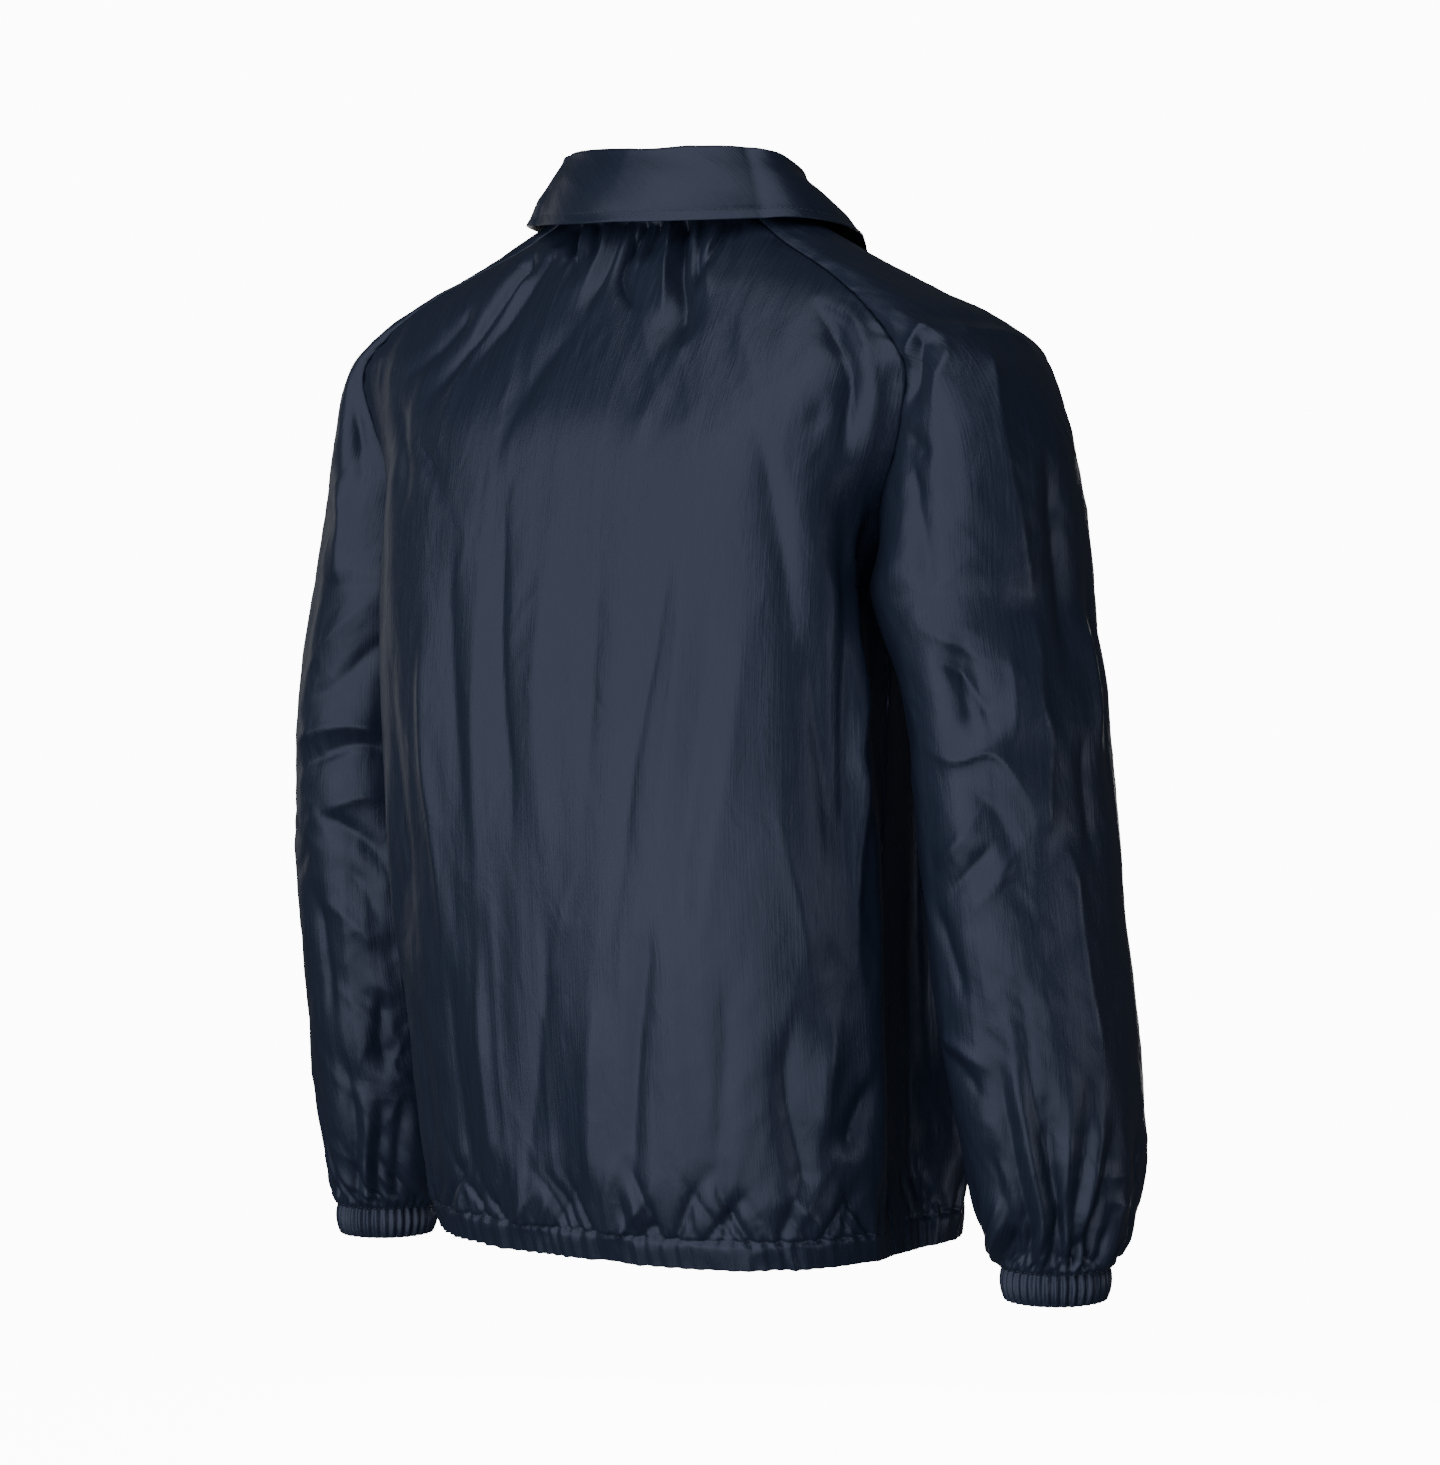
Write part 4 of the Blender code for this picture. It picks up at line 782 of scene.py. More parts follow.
# Across from the outer line of the arm, with the back negative, and up from the cuff, in
# millimetres. The right sleeve is the one nearer the camera.
NEAR_SLEEVE_FOLDS = (
    # the pinch at the sleeve head and the break over the shoulder
    (6.5, 3.6, 4.2, 0.9, 0.3, 0.3, 0.3, ((-52, 652), (-78, 634), (-112, 608))),
    (-8.5, 4.0, 6.0, 0.8, 0.3, 0.2, 0.3, ((-64, 642), (-86, 622), (-106, 603), (-124, 584))),
    (3.0, 4.0, 6.0, 0.8, 0.0, 0.4, 0.5, ((-54, 640), (-68, 618), (-88, 596), (-100, 568))),
    (4.0, 7.0, 8.0, 0.9, 0.0, 0.2, 0.4, ((-52, 644), (-28, 634), (7, 625), (38, 602))),
    (-4.0, 9.0, 9.0, 0.3, 0.0, 0.3, 0.5, ((-66, 668), (-34, 654), (4, 645), (40, 630))),
    (-4.0, 6.0, 7.0, 0.5, 0.0, 0.3, 0.4, ((-124, 575), (-112, 560), (-100, 556))),
    # the long crease down the arm, where the lit back turns to the shaded outer side
    (4.5, 9.0, 10.0, 1.0, 0.0, 0.2, 0.2,
     ((-30, 632), (-47, 594), (-54, 566), (-53, 531), (-44, 478), (-36, 436))),
    (4.0, 8.0, 9.0, 1.0, 0.0, 0.2, 0.2, ((-36, 450), (-44, 385), (-40, 359), (-46, 319), (-45, 285))),
    (4.0, 8.0, 9.0, 1.0, 0.0, 0.2, 0.3, ((-45, 300), (-29, 269), (-27, 194), (-20, 120))),
    (-6.0, 8.0, 10.0, 0.4, 0.0, 0.3, 0.4, ((-20, 560), (-16, 500), (-12, 440), (-18, 370))),
    (5.0, 6.0, 8.0, 0.6, 0.0, 0.3, 0.4, ((8, 450), (11, 395), (7, 330))),
    (-4.0, 6.0, 8.0, 0.5, 0.0, 0.3, 0.4, ((26, 480), (30, 400), (22, 300))),
    (-3.5, 5.0, 7.0, 0.5, 0.0, 0.3, 0.4, ((-8, 369), (-12, 319), (-8, 262))),
    # the shaded dimple above the elbow
    (-7.0, 10.0, 9.0, 0.5, 0.0, 0.3, 0.3, ((-86, 432), (-95, 398), (-88, 352))),
    (-4.5, 5.0, 6.0, 0.8, 0.3, 0.3, 0.3, ((-114, 412), (-90, 392), (-74, 356))),
    (2.5, 5.0, 6.0, 0.9, 0.0, 0.4, 0.5, ((-122, 432), (-98, 421), (-66, 404))),
    (3.0, 5.0, 6.0, 0.9, 0.0, 0.4, 0.4, ((-62, 430), (-61, 388), (-66, 342))),
    (4.0, 5.0, 6.5, 0.9, 0.3, 0.4, 0.5, ((-140, 356), (-106, 345), (-80, 350), (-60, 322), (-52, 290))),
    (-4.5, 6.0, 9.0, 0.5, 0.0, 0.3, 0.4, ((-128, 575), (-117, 524), (-109, 467), (-108, 425))),
    # the elbow's bends
    (-4.5, 9.0, 12.0, 0.5, 0.0, 0.4, 0.5, ((-112, 336), (-84, 318), (-70, 282), (-74, 240))),
    (4.0, 5.0, 8.0, 0.8, 0.0, 0.5, 0.5, ((-138, 268), (-108, 290), (-84, 322))),
    (-4.5, 5.0, 8.0, 0.8, 0.3, 0.5, 0.5, ((-130, 246), (-98, 276), (-70, 306))),
    (3.0, 5.0, 8.0, 0.8, 0.0, 0.5, 0.5, ((-112, 238), (-82, 268), (-54, 306))),
    (-4.0, 5.0, 7.0, 0.6, 0.0, 0.3, 0.4, ((-118, 180), (-122, 215), (-140, 258))),
    (-4.5, 5.0, 6.0, 0.6, 0.0, 0.3, 0.4, ((-154, 150), (-124, 138), (-104, 117))),
    (3.5, 5.0, 6.0, 0.6, 0.0, 0.3, 0.4, ((-150, 165), (-120, 152), (-98, 140))),
    # folds that run up out of the cuff
    from_cuff(-5.5, 8.0, 0.6, (-57, 6), (-81, 61), (-95, 125), (-99, 195)),
    (-5.0, 3.0, 8.0, 0.6, 0.2, 0.05, 0.5, ((-45, 6), (-68, 94), (-75, 154), (-74, 222))),
    from_cuff(4.5, 7.0, 0.7, (-51, 6), (-74, 80), (-85, 140), (-86, 200)),
    from_cuff(-5.0, 7.0, 0.6, (-38, 6), (-57, 61), (-64, 113), (-57, 168)),
    from_cuff(-5.0, 7.0, 0.6, (-29, 4), (-41, 47), (-36, 104), (-35, 155)),
    from_cuff(4.5, 6.5, 0.7, (-33, 5), (-50, 54), (-50, 108), (-46, 150)),
    from_cuff(-5.0, 7.0, 0.6, (-18, 3), (-25, 32), (-18, 80), (-10, 124)),
    from_cuff(4.5, 6.5, 0.7, (-22, 3), (-33, 40), (-28, 92), (-22, 140)),
    from_cuff(-4.5, 8.0, 0.5, (-68, 8), (-96, 60), (-112, 100)),
    # the inner and front side, which the photograph hides
    (-3.8, 6.0, 12.0, 0.5, 0.2, 0.5, 0.5, ((30, 436), (72, 408), (124, 352))),
    (3.2, 5.0, 9.0, 0.7, 0.0, 0.5, 0.5, ((52, 396), (92, 374), (132, 318))),
    (-3.6, 6.0, 10.0, 0.6, 0.0, 0.5, 0.5, ((148, 404), (112, 350), (78, 318), (48, 262))),
    (-4.5, 7.0, 9.0, 0.4, 0.0, 0.3, 0.4, ((40, 590), (66, 530), (78, 450))),
    (-4.0, 6.0, 8.0, 0.5, 0.0, 0.3, 0.4, ((66, 300), (60, 220), (70, 150))),
    from_cuff(-5.0, 8.0, 0.6, (12, 4), (22, 60), (24, 130)),
    from_cuff(-5.0, 8.0, 0.6, (40, 4), (60, 70), (70, 150)),
    from_cuff(4.5, 7.0, 0.6, (30, 4), (46, 60), (50, 120)),
    from_cuff(-5.0, 8.0, 0.6, (64, 4), (96, 60), (112, 140)),
    from_cuff(-4.5, 8.0, 0.5, (84, 4), (126, 60), (146, 120)),
)
FAR_SLEEVE_FOLDS = (
    # the crumpled elbow, and the dents below it
    (5.0, 6.0, 8.0, 0.8, 0.0, 0.5, 0.3, ((-62, 338), (-98, 350), (-132, 357), (-172, 346))),
    (-5.5, 6.0, 8.0, 0.6, 0.3, 0.5, 0.3, ((-70, 318), (-104, 332), (-140, 342), (-176, 330))),
    (-4.0, 7.0, 8.0, 0.6, 0.0, 0.5, 0.4, ((-88, 366), (-122, 386), (-150, 412), (-176, 404))),
    (3.5, 6.0, 8.0, 0.8, 0.0, 0.5, 0.5, ((-84, 386), (-114, 420), (-142, 446), (-168, 440))),
    (4.0, 6.0, 8.0, 0.8, 0.0, 0.5, 0.4, ((-82, 276), (-116, 298), (-148, 308), (-178, 296))),
    (-5.0, 6.0, 9.0, 0.6, 0.0, 0.5, 0.4, ((-92, 300), (-120, 288), (-148, 268), (-156, 240))),
    (-4.0, 7.0, 9.0, 0.5, 0.0, 0.4, 0.4, ((-118, 262), (-140, 240), (-150, 206))),
    (3.0, 6.0, 8.0, 0.8, 0.0, 0.5, 0.5, ((-92, 232), (-122, 222), (-152, 188))),
    (-5.0, 6.0, 7.0, 0.5, 0.0, 0.3, 0.3, ((-146, 170), (-138, 132), (-139, 98))),
    (-5.0, 6.0, 8.0, 0.5, 0.0, 0.3, 0.4, ((-80, 640), (-106, 588), (-126, 525))),
    (4.0, 6.0, 8.0, 0.6, 0.0, 0.3, 0.4, ((-100, 560), (-112, 500), (-118, 440))),
    (-4.0, 6.0, 8.0, 0.5, 0.0, 0.3, 0.4, ((-70, 520), (-76, 440), (-72, 370))),
    (-4.5, 6.0, 8.0, 0.5, 0.0, 0.3, 0.4, ((-96, 250), (-104, 190), (-100, 130))),
    # folds that run up out of the cuff
    from_cuff(-5.0, 8.0, 0.6, (-66, 8), (-96, 51), (-106, 92), (-104, 140)),
    from_cuff(-5.0, 8.0, 0.6, (-82, 8), (-119, 59), (-132, 106)),
    from_cuff(4.5, 7.0, 0.7, (-75, 8), (-108, 56), (-120, 104)),
    from_cuff(-4.5, 7.0, 0.6, (-94, 8), (-129, 51), (-151, 103)),
    from_cuff(-5.0, 7.0, 0.6, (-44, 6), (-60, 60), (-70, 120)),
    from_cuff(-5.0, 7.0, 0.6, (-24, 5), (-34, 60), (-30, 130)),
    # the outer and front side
    (-4.5, 7.0, 9.0, 0.5, 0.0, 0.3, 0.4, ((-10, 560), (-4, 470), (-12, 370))),
    (4.5, 7.0, 9.0, 0.6, 0.0, 0.3, 0.4, ((20, 500), (24, 400), (16, 290))),
    (-3.8, 6.0, 11.0, 0.5, -0.2, 0.5, 0.5, ((34, 404), (80, 392), (134, 432))),
    (3.4, 5.0, 9.0, 0.7, 0.0, 0.5, 0.5, ((44, 372), (88, 352), (140, 380))),
    (-3.6, 6.0, 10.0, 0.6, 0.0, 0.5, 0.5, ((142, 330), (104, 318), (70, 286), (50, 224))),
    (-4.5, 7.0, 9.0, 0.4, 0.0, 0.3, 0.4, ((36, 580), (62, 520), (74, 440))),
    from_cuff(-5.0, 8.0, 0.6, (0, 4), (4, 60), (-2, 130)),
    from_cuff(-5.0, 8.0, 0.6, (26, 4), (40, 70), (44, 150)),
    from_cuff(4.5, 7.0, 0.6, (40, 4), (60, 60), (66, 120)),
    from_cuff(-5.0, 8.0, 0.6, (58, 4), (88, 60), (104, 140)),
    from_cuff(-4.5, 8.0, 0.5, (84, 4), (126, 60), (146, 120)),
)


def sleeve_base(side, turn, level):
    """The sleeve's outer face without folds. turn runs from the back seam to the front one."""
    turn, level = np.broadcast_arrays(np.asarray(turn, float), np.asarray(level, float))
    row = {name: SLEEVE.read(name, level) for name in SLEEVE.columns}
    apex = np.stack([row["outer_x"], row["outer_y"], row["outer_z"]], -1)
    inner = np.stack([row["inner_x"], row["outer_y"], row["outer_z"]], -1)
    if side > 0:
        shift = np.stack([row["left_x"], row["left_y"], row["left_z"]], -1)
        apex = apex + shift
        inner = inner + shift * smooth((0.5 - level) / 0.4)[..., None]
    yoke = np.maximum(level, 1.0)
    back_seam = body_base(BACK, 1, 1.0, yoke)
    front_seam = body_base(FRONT, -1, 1.0, yoke)
    above = (level > 1.0)[..., None]
    back = np.where(above, back_seam, inner)
    front = np.where(above, front_seam, inner)
    middle = (back + front) / 2
    straight = np.array([0.0, 1.0, 0.0])
    opened = smooth((level - 1.0) / OPENING_RUN)[..., None]
    across = straight + (unit(back - front) - straight) * opened
    across = unit(np.where(above, across, straight))
    outward = apex - middle
    start = np.radians(np.where(level > 1.0, row["open_angle"], 0.0))[..., None]
    radius = outward / (1 + np.cos(start))
    depth = row["ring_depth"][..., None] * across
    angle = start + turn[..., None] * (2 * math.pi - 2 * start)
    centre = middle + radius * np.cos(start)
    point = centre - radius * np.cos(angle) + depth * np.sin(angle)
    first = centre - radius * np.cos(start) + depth * np.sin(start)
    last = centre - radius * np.cos(start) - depth * np.sin(start)
    hold = turn[..., None]
    point = point + (back - first) * (1 - smooth(2 * hold)) + (front - last) * smooth(2 * hold - 1)
    return point * np.array([side, 1.0, 1.0])


def cuff_ruffles(turn, seed):
    """Uneven upright ruffles round the elastic wrist, from 0 to 1 round the arm."""
    draw = np.random.default_rng(seed)
    wander = sum(draw.uniform(-0.45, 0.45) * np.sin(2 * math.pi * (n * turn + draw.uniform(0, 1)))
                 for n in (2, 3, 5))
    size = 0.75 + 0.25 * np.sin(2 * math.pi * (4 * turn + draw.uniform(0, 1)))
    return size * np.sin(2 * math.pi * CUFF_RUFFLES * turn + 2.2 * wander)


SLEEVE_LEVELS = np.concatenate([
    np.linspace(0.0, 0.18, 60, endpoint=False), np.linspace(0.18, 1.0, 140, endpoint=False),
    BODY_LEVELS[BODY_LEVELS >= 1.0 - 1e-9],
])
rings = int((SLEEVE_LEVELS <= 1.0 + 1e-9).sum())
sleeve_grids = {}
for side, name, folds in ((1, "sleeve_left", FAR_SLEEVE_FOLDS), (-1, "sleeve_right", NEAR_SLEEVE_FOLDS)):
    seed = SLEEVE_SEEDS[side]
    turn, level = np.meshgrid(seam_shares(0.0, 1.0, SLEEVE_POINTS), SLEEVE_LEVELS)
    base = sleeve_base(side, turn, level)
    across, up = flat_places(base, SLEEVE_POINTS // 2)
    top = up.max()
    to_seam = np.minimum(across - across[:, :1], across[:, -1:] - across)
    calm = smooth(to_seam / SEAM_CALM + 0.02) * smooth((top - up) / 0.02) * smooth(up / 0.010)
    under_arm = np.where(level <= 1.0, smooth((to_seam - 0.01) / 0.03), 1.0)
    pleats = gathers(seed + 1, -112, 112, 9.0, 3, 88, 5.2, 2.0, 7.0, 0.25)
    relief = fold_relief(folds, across, up) * calm * under_arm + fold_relief(pleats, across, up) * calm
    relief = relief + cloth_unevenness(across, up, seed + 2, 0.032, 0.062, 0.42) * calm
    relief = relief + seam_relief(to_seam, up, seed + 5)
    ruffle = cuff_ruffles(turn, seed + 9)
    relief = relief + RUFFLE_SIZE * ruffle * smooth(1 - up / 0.016)
    # The gathered sleeve puffs out over its cuff, and dips to meet it.
    puff = smooth(1 - up / 0.070) * smooth(up / 0.020)
    relief = relief + SLEEVE_PUFF * puff - SEAM_LIFT * np.exp(-(up / 0.002) ** 2)
    points = base + grid_normals(base, -side, rings) * relief[..., None]
    points[:rings, -1] = points[:rings, 0]
    flat = np.stack([across, up], -1)
    sleeve_grids[side] = points, grid_normals(points, -side, rings), flat
    sleeve = cloth_piece(name + "_taffeta", points, flat, nylon, rings, flip=side > 0)
    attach(sleeve, "root")
    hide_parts(name)


# ---- Cuffs ----
# Each wrist is the sleeve's own end turned in over a ring of elastic and stitched above it,
# so the casing ruffles all round and its opening draws in.
CUFF_HEIGHT = 0.021
CUFF_POINTS = 361
CUFF_ROWS = 25
# The casing's inner layer reaches this many of its rows back up.
CUFF_TURNED_ROWS = 20
for side, name in ((1, "cuff_left"), (-1, "cuff_right")):
    seed = SLEEVE_SEEDS[side]
    turn, drop = np.meshgrid(np.linspace(0, 1, CUFF_POINTS), np.linspace(1, 0, CUFF_ROWS))
    ring = sleeve_base(side, turn, 0.0)
    centre = (sleeve_base(side, 0.0, 0.0) + sleeve_base(side, 0.5, 0.0)) / 2
    radial = unit((ring - centre) * np.array([1.0, 1.0, 0.0]))
    ruffle = cuff_ruffles(turn, seed + 9)
    sway = rumple(turn * 0.24, drop * CUFF_HEIGHT, 0.006, 0.010, seed + 12)
    pinch = 0.0004 * np.exp(-(drop / 0.10) ** 2)
    barrel = 0.0010 * np.sin(math.pi * drop) - 0.0022 * drop**3
    swell = RUFFLE_SIZE * ruffle * (1 + 0.25 * np.sin(math.pi * drop))
    swell = swell + 0.00025 * sway * smooth(drop * 5) - pinch
    points = ring + radial * (swell + barrel)[..., None] - np.array([0.0, 0.0, CUFF_HEIGHT]) * drop[..., None]
    across = running_length(points, 1)
    flat = np.stack([across - across[:, -1:] / 2, (1 - drop) * CUFF_HEIGHT - CUFF_HEIGHT], -1)
    normals = grid_normals(points, -side, len(points))
    points, flat, normals = turned_up(points, normals, flat, CUFF_TURNED_ROWS)
    points[:, -1] = points[:, 0]
    cuff = cloth_piece(name + "_casing", points, flat, nylon, len(points), flip=side > 0)
    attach(cuff, "root")
    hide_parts(name)


# ---- Collar ----
# A folded collar of two layers: a stand sewn into the neck seam and a fall turned down over
# it. The edge is topstitched, and it stands a little off the shoulders.
COLLAR = Sections(
    ("turn", "rise", "lean", "drop", "flare", "spread"),
    (0.00, 0.0430, 0.010, 0.0500, 0.018, 0.000),
    (0.25, 0.0400, 0.006, 0.0490, 0.023, 0.000),
    (0.48, 0.0300, 0.001, 0.0410, 0.038, 0.000),
    (0.70, 0.0300, 0.004, 0.0410, 0.042, 0.004),
    (0.88, 0.0310, 0.008, 0.0520, 0.036, 0.014),
    (1.00, 0.0310, 0.010, 0.0620, 0.029, 0.034),
)
COLLAR_END_TURN = 0.985
COLLAR_MIDDLE_Y = 0.012
COLLAR_THICKNESS = 0.0013
# The stand's foot lies this far inside the neck seam and above it.
FOOT_IN = 0.0014
FOOT_UP = 0.0004
FOLD_RADIUS = 0.0034
FALL_BULGE = 0.002
COLLAR_STATIONS = 241
COLLAR_PROFILE = 61
TOPSTITCH_INSET = 0.006


def neckline():
    """The neck opening's edge, from the centre front round the right side and the back."""
    front = np.linspace(0.0, 1.0, 60)
    over = np.linspace(0.0, 1.0, 32)
    half = np.vstack([
        body_base(FRONT, -1, -front, 2.0),
        sleeve_base(-1, 1 - over, 2.0)[1:],
        body_base(BACK, 1, -1 + front, 2.0)[1:],
    ])
    return np.vstack([half, (half * np.array([-1.0, 1.0, 1.0]))[::-1][1:]])


def read_along(line, run, at):
    """Points on a line at one distance along it, or at several."""
    return np.stack([np.interp(at, run, line[:, k]) for k in range(3)], -1)


line = neckline()
run = running_length(line, 0)
run = run / run[-1]
outer = []
for turn in np.linspace(-COLLAR_END_TURN, COLLAR_END_TURN, COLLAR_STATIONS):
    foot = read_along(line, run, (turn + 1) / 2)
    out = unit(foot - np.array([0.0, COLLAR_MIDDLE_Y, foot[2]]))
    rise = np.array([0.0, 0.0, 1.0])
    along = np.sign(turn) * np.cross(rise, out)
    size = {name: COLLAR.read(name, abs(turn)) for name in COLLAR.columns}
    foot = foot - out * FOOT_IN + rise * FOOT_UP
    fold = foot + rise * size["rise"] + out * size["lean"]
    hang = fold + out * size["flare"] - rise * size["drop"] + along * size["spread"]
    inside = fold - out * FOLD_RADIUS - rise * FOLD_RADIUS
    outside = fold + out * FOLD_RADIUS - rise * FOLD_RADIUS * 1.2
    bulge = out * FALL_BULGE
    corners = np.array([
        foot, foot + (inside - foot) * 0.5, inside,
        fold - out * FOLD_RADIUS * 0.6 - rise * FOLD_RADIUS * 0.25, fold,
        fold + out * FOLD_RADIUS * 0.6 - rise * FOLD_RADIUS * 0.25, outside,
        outside + (hang - outside) * 0.33 + bulge, outside + (hang - outside) * 0.66 + bulge, hang,
    ])
    knots = running_length(corners, 0)
    curve = Sections(("key", "x", "y", "z"), *np.column_stack([knots, corners]))
    reads = np.linspace(0, knots[-1], COLLAR_PROFILE)
    outer.append(np.column_stack([curve.read(axis, reads) for axis in "xyz"]))
outer = np.array(outer)
down, wide = running_length(outer, 1), running_length(outer, 0)
normals = grid_normals(outer, -1)
from_edge = down[:, -1:] - down
from_end = np.minimum(wide, wide[-1:] - wide)
stitched = np.exp(-((from_edge - TOPSTITCH_INSET) / 0.0011) ** 2)
settle = smooth(from_edge / 0.004) * smooth(from_end / 0.004)
relief = -0.00035 * stitched - 0.0012 * np.abs(rumple(wide + 0.4 * down, down, 0.040, 0.050, 91)) * settle
relief = relief + 0.00022 * rumple(wide, down, 0.007, 0.012, 92) * smooth(1 - from_edge / 0.014) * settle
outer = outer + normals * relief[..., None]
collar_normals = grid_normals(outer, -1)


RIM_BENDS = np.linspace(0, math.pi / 2, 5)[1:]


def rounded_rim(grid, half, axis):
    """Adds rows before a grid's first row and beyond its last, for the rim of a thick leaf."""
    grid = grid.swapaxes(0, axis)
    back, ahead = unit(grid[0] - grid[1]), unit(grid[-1] - grid[-2])
    before = [grid[0] + back * half * math.sin(bend) for bend in RIM_BENDS[::-1]]
    beyond = [grid[-1] + ahead * half * math.sin(bend) for bend in RIM_BENDS]
    return np.concatenate([before, grid, beyond]).swapaxes(0, axis)


# The leaf is as thick as the cloth up to its rim, and thins to nothing round it.
half = COLLAR_THICKNESS / 2
middle = rounded_rim(rounded_rim(outer - collar_normals * half, half, 1), half, 0)
rim = np.cos(RIM_BENDS)
rim[-1] = 0.0
thick_wide = np.concatenate([rim[::-1], np.ones(COLLAR_STATIONS), rim])
thick_down = np.concatenate([rim[::-1], np.ones(COLLAR_PROFILE), rim])
thick = half * thick_wide[:, None] * thick_down[None, :]
middle_normals = grid_normals(middle, -1)
layers = [middle + middle_normals * thick[..., None], middle - middle_normals * thick[..., None]]
flat = np.stack([running_length(middle, 0), running_length(middle, 1)], -1)
rows, columns = thick.shape
first = np.arange(rows * columns).reshape(rows, columns)
second = np.where(thick > 0, first + rows * columns, first)
quads = [cell_corners(first).reshape(-1, 4)[:, ::-1], cell_corners(second).reshape(-1, 4)]
quads = np.concatenate(quads)
used, packed = np.unique(quads, return_inverse=True)
both_layers = np.concatenate([layer.reshape(-1, 3) for layer in layers])
places = np.concatenate([flat.reshape(-1, 2)] * 2)[quads]
collar = mesh_object("collar_leaf", both_layers[used], packed.reshape(-1, 4).tolist(), nylon, places)
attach(collar, "root")
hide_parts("collar")


# ---- Stitching ----
# Lockstitches in bonded polyester thread hold the collar's edge, the hem and both wrists.
# Each stitch is about 3 mm long and dips into the cloth at both ends.
THREAD = 0.00045
STITCH = 0.0030
STITCH_GAP = 0.0007
THREAD_SIDES = 6
# Along a stitch, from end to end: place in half stitches, height and girth in thread widths
STITCH_PROFILE = np.array([
    (-1.0, -0.6, 0.35), (-0.7, 0.35, 0.9), (0.0, 0.6, 1.0), (0.7, 0.35, 0.9), (1.0, -0.6, 0.35),
])
CUFF_STITCH_HEIGHT = 0.0012
# Rows of stitching stop this many points short of a raglan seam and of the collar's ends.
SEAM_MARGIN = 4
COLLAR_MARGIN = 6

# The thread is a shade paler and duller than the cloth, so its rows show as fine dotted lines.
thread, tree = new_material("bonded_polyester_thread")
place = add_node(tree, "ShaderNodeTexCoord", {}, {})
# The thread's plies come round about every 2 mm.
ply = add_node(tree, "ShaderNodeTexWave", {"bands_direction": "DIAGONAL"}, {
    "Vector": (place, "Object"), "Scale": 320.0, "Distortion": 0.5})
dye = add_node(tree, "ShaderNodeMix", {"data_type": "RGBA"}, {
    0: (ply, "Fac"), 6: hex_colour("#1c2230"), 7: hex_colour("#343d52")})
twist = add_node(tree, "ShaderNodeBump", {}, {"Strength": 0.4, "Distance": 0.0001, "Height": (ply, "Fac")})
lustre = add_node(tree, "ShaderNodeBsdfPrincipled", {}, {
    "Base Color": (dye, 2), "Roughness": 0.45, "IOR": 1.57, "Normal": (twist, "Normal")})
add_node(tree, "ShaderNodeOutputMaterial", {}, {"Surface": (lustre, "BSDF")})


def stitch_row(name, line, outward):
    """One row of lockstitches along a line of points on the cloth."""
    run = running_length(line, 0)
    count = int(run[-1] // (STITCH + STITCH_GAP))
    centres = (np.arange(count) + 0.5) * run[-1] / count
    places, heights, girths = STITCH_PROFILE.T * np.array([[STITCH / 2], [THREAD], [THREAD / 2]])
    rings = len(places)
    points, faces = [], []
    for centre in centres:
        spine, lift = read_along(line, run, centre + places), read_along(outward, run, centre + places)
        ahead = unit(spine[-1] - spine[0])
        first = len(points)
        for k in range(rings):
            aside = unit(np.cross(ahead, lift[k]))
            for turn in np.arange(THREAD_SIDES) * 2 * math.pi / THREAD_SIDES:
                points.append(spine[k] + lift[k] * (heights[k] + girths[k] * math.sin(turn))
                              + aside * girths[k] * math.cos(turn))
        faces += band_faces(rings, THREAD_SIDES, first)
        faces.append(tuple(range(first + THREAD_SIDES - 1, first - 1, -1)))
        faces.append(tuple(range(len(points) - THREAD_SIDES, len(points))))
    row = mesh_object(name, points, faces, thread)
    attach(row, "root")


def hem_line(grid, start):
    """Points and normals along the stitching of one panel's hem casing."""
    points, normals, flat = grid
    row = row_at(flat, HEM_CASING)
    return points[row, start:-SEAM_MARGIN], normals[row, start:-SEAM_MARGIN]


stitch_row("hem_stitching_back", *hem_line(back_grid, SEAM_MARGIN))
for side, name in ((1, "left"), (-1, "right")):
    stitch_row(f"hem_stitching_front_{name}", *hem_line(front_grids[side], 1))
    points, normals, flat = sleeve_grids[side]
    row = row_at(flat, CUFF_STITCH_HEIGHT)
    stitch_row(f"cuff_stitching_{name}", points[row], normals[row])
inset = np.argmin(np.abs(from_edge - TOPSTITCH_INSET), axis=1)[COLLAR_MARGIN:-COLLAR_MARGIN]
stations = np.arange(COLLAR_STATIONS)[COLLAR_MARGIN:-COLLAR_MARGIN]
stitch_row("collar_topstitching", outer[stations, inset], collar_normals[stations, inset])
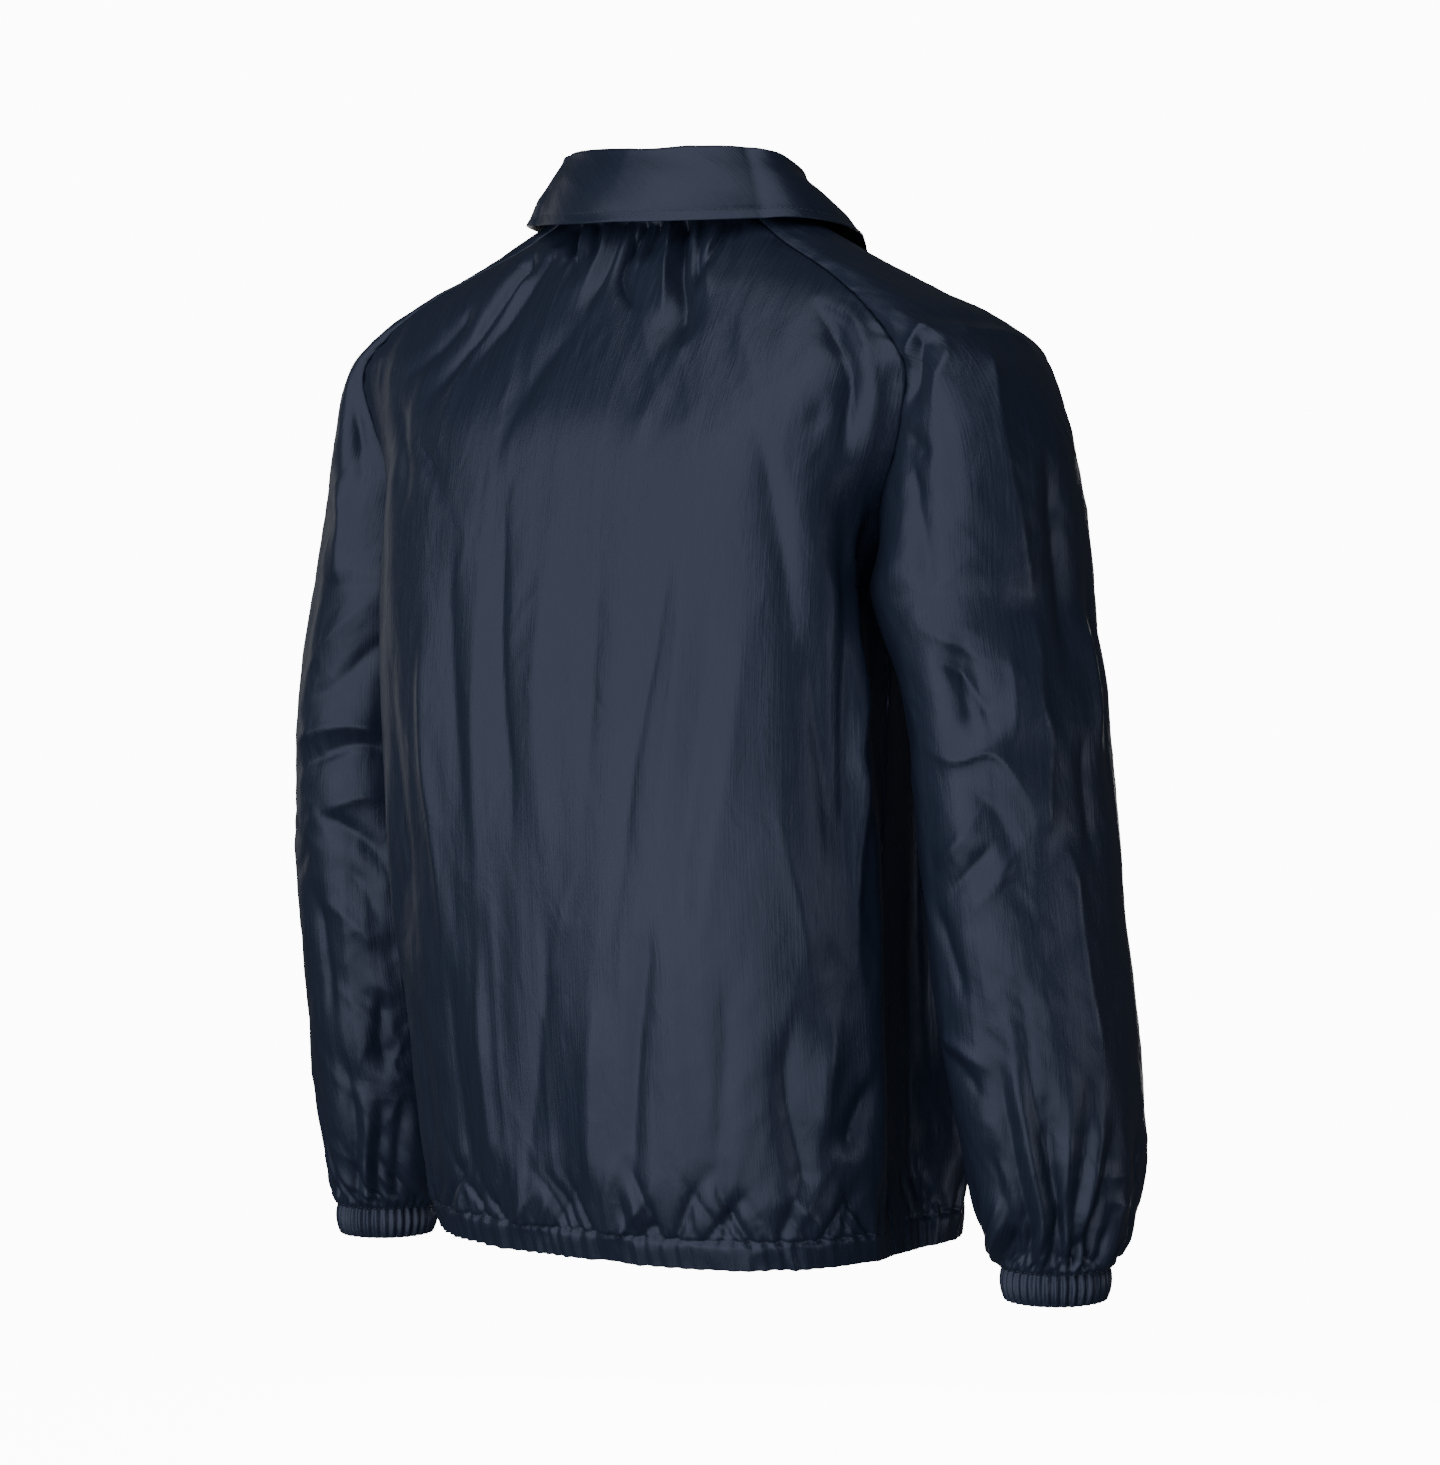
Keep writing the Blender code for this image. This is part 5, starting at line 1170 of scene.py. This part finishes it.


# ---- Snaps ----
# Five moulded snap caps down the left front, each seated on the cloth just off its surface. They show as
# smooth, slightly dished navy buttons.

# Moulded nylon in the cloth's navy, glossier than the cloth, with a fine grain 1 mm across.
snap_plastic, tree = new_material("moulded_nylon_snap_cap")
place = add_node(tree, "ShaderNodeTexCoord", {}, {})
grain = add_node(tree, "ShaderNodeTexNoise", {}, {"Vector": (place, "Object"), "Scale": 900.0, "Detail": 2.0})
tone = add_node(tree, "ShaderNodeMix", {"data_type": "RGBA"}, {
    0: (grain, "Fac"), 6: hex_colour("#232b3c"), 7: hex_colour("#2d364a")})
skin = add_node(tree, "ShaderNodeBump", {}, {"Strength": 0.1, "Distance": 0.0001, "Height": (grain, "Fac")})
cap_gloss = add_node(tree, "ShaderNodeBsdfPrincipled", {}, {
    "Base Color": (tone, 2), "Roughness": 0.28, "IOR": 1.53, "Normal": (skin, "Normal")})
add_node(tree, "ShaderNodeOutputMaterial", {}, {"Surface": (cap_gloss, "BSDF")})
SNAP_SIDES = 48
SNAP_LEVELS = (0.10, 0.42, 0.74, 1.12, 1.80)
SNAP_SEAT = 0.0004
# Radius and height of the cap's profile, in millimetres, from its rim to its dished middle
SNAP_PROFILE = (
    (7.2, -0.3), (7.2, 1.2), (7.1, 1.6), (6.8, 2.0), (6.3, 2.3), (5.7, 2.4), (5.1, 2.3),
    (4.5, 2.05), (3.6, 1.9), (2.4, 1.82), (1.2, 1.8), (0.0, 1.8),
)
points, normals, flat = front_grids[1]
for number, level in enumerate(SNAP_LEVELS, start=1):
    row = np.argmin(np.abs(BODY_LEVELS - level))
    column = np.argmin(np.abs(flat[row, :, 0]))
    seat, out = points[row, column], normals[row, column]
    aside = unit(points[row, column + 1] - points[row, column - 1])
    over = np.cross(out, aside)
    cap_points = []
    for radius, height in SNAP_PROFILE:
        for k in range(SNAP_SIDES):
            turn = 2 * math.pi * k / SNAP_SIDES
            reach = (math.cos(turn) * aside + math.sin(turn) * over) * max(radius, 0.01) / 1000
            cap_points.append(seat + out * (SNAP_SEAT + height / 1000) + reach)
    cap_faces = band_faces(len(SNAP_PROFILE), SNAP_SIDES)
    cap_faces.append(tuple(range(len(cap_points) - SNAP_SIDES, len(cap_points))))
    cap_faces.append(tuple(range(SNAP_SIDES - 1, -1, -1)))
    cap = mesh_object(f"snap_cap_{number}", cap_points, cap_faces, snap_plastic)
    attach(cap, "root")
    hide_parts(f"snap_{number}")
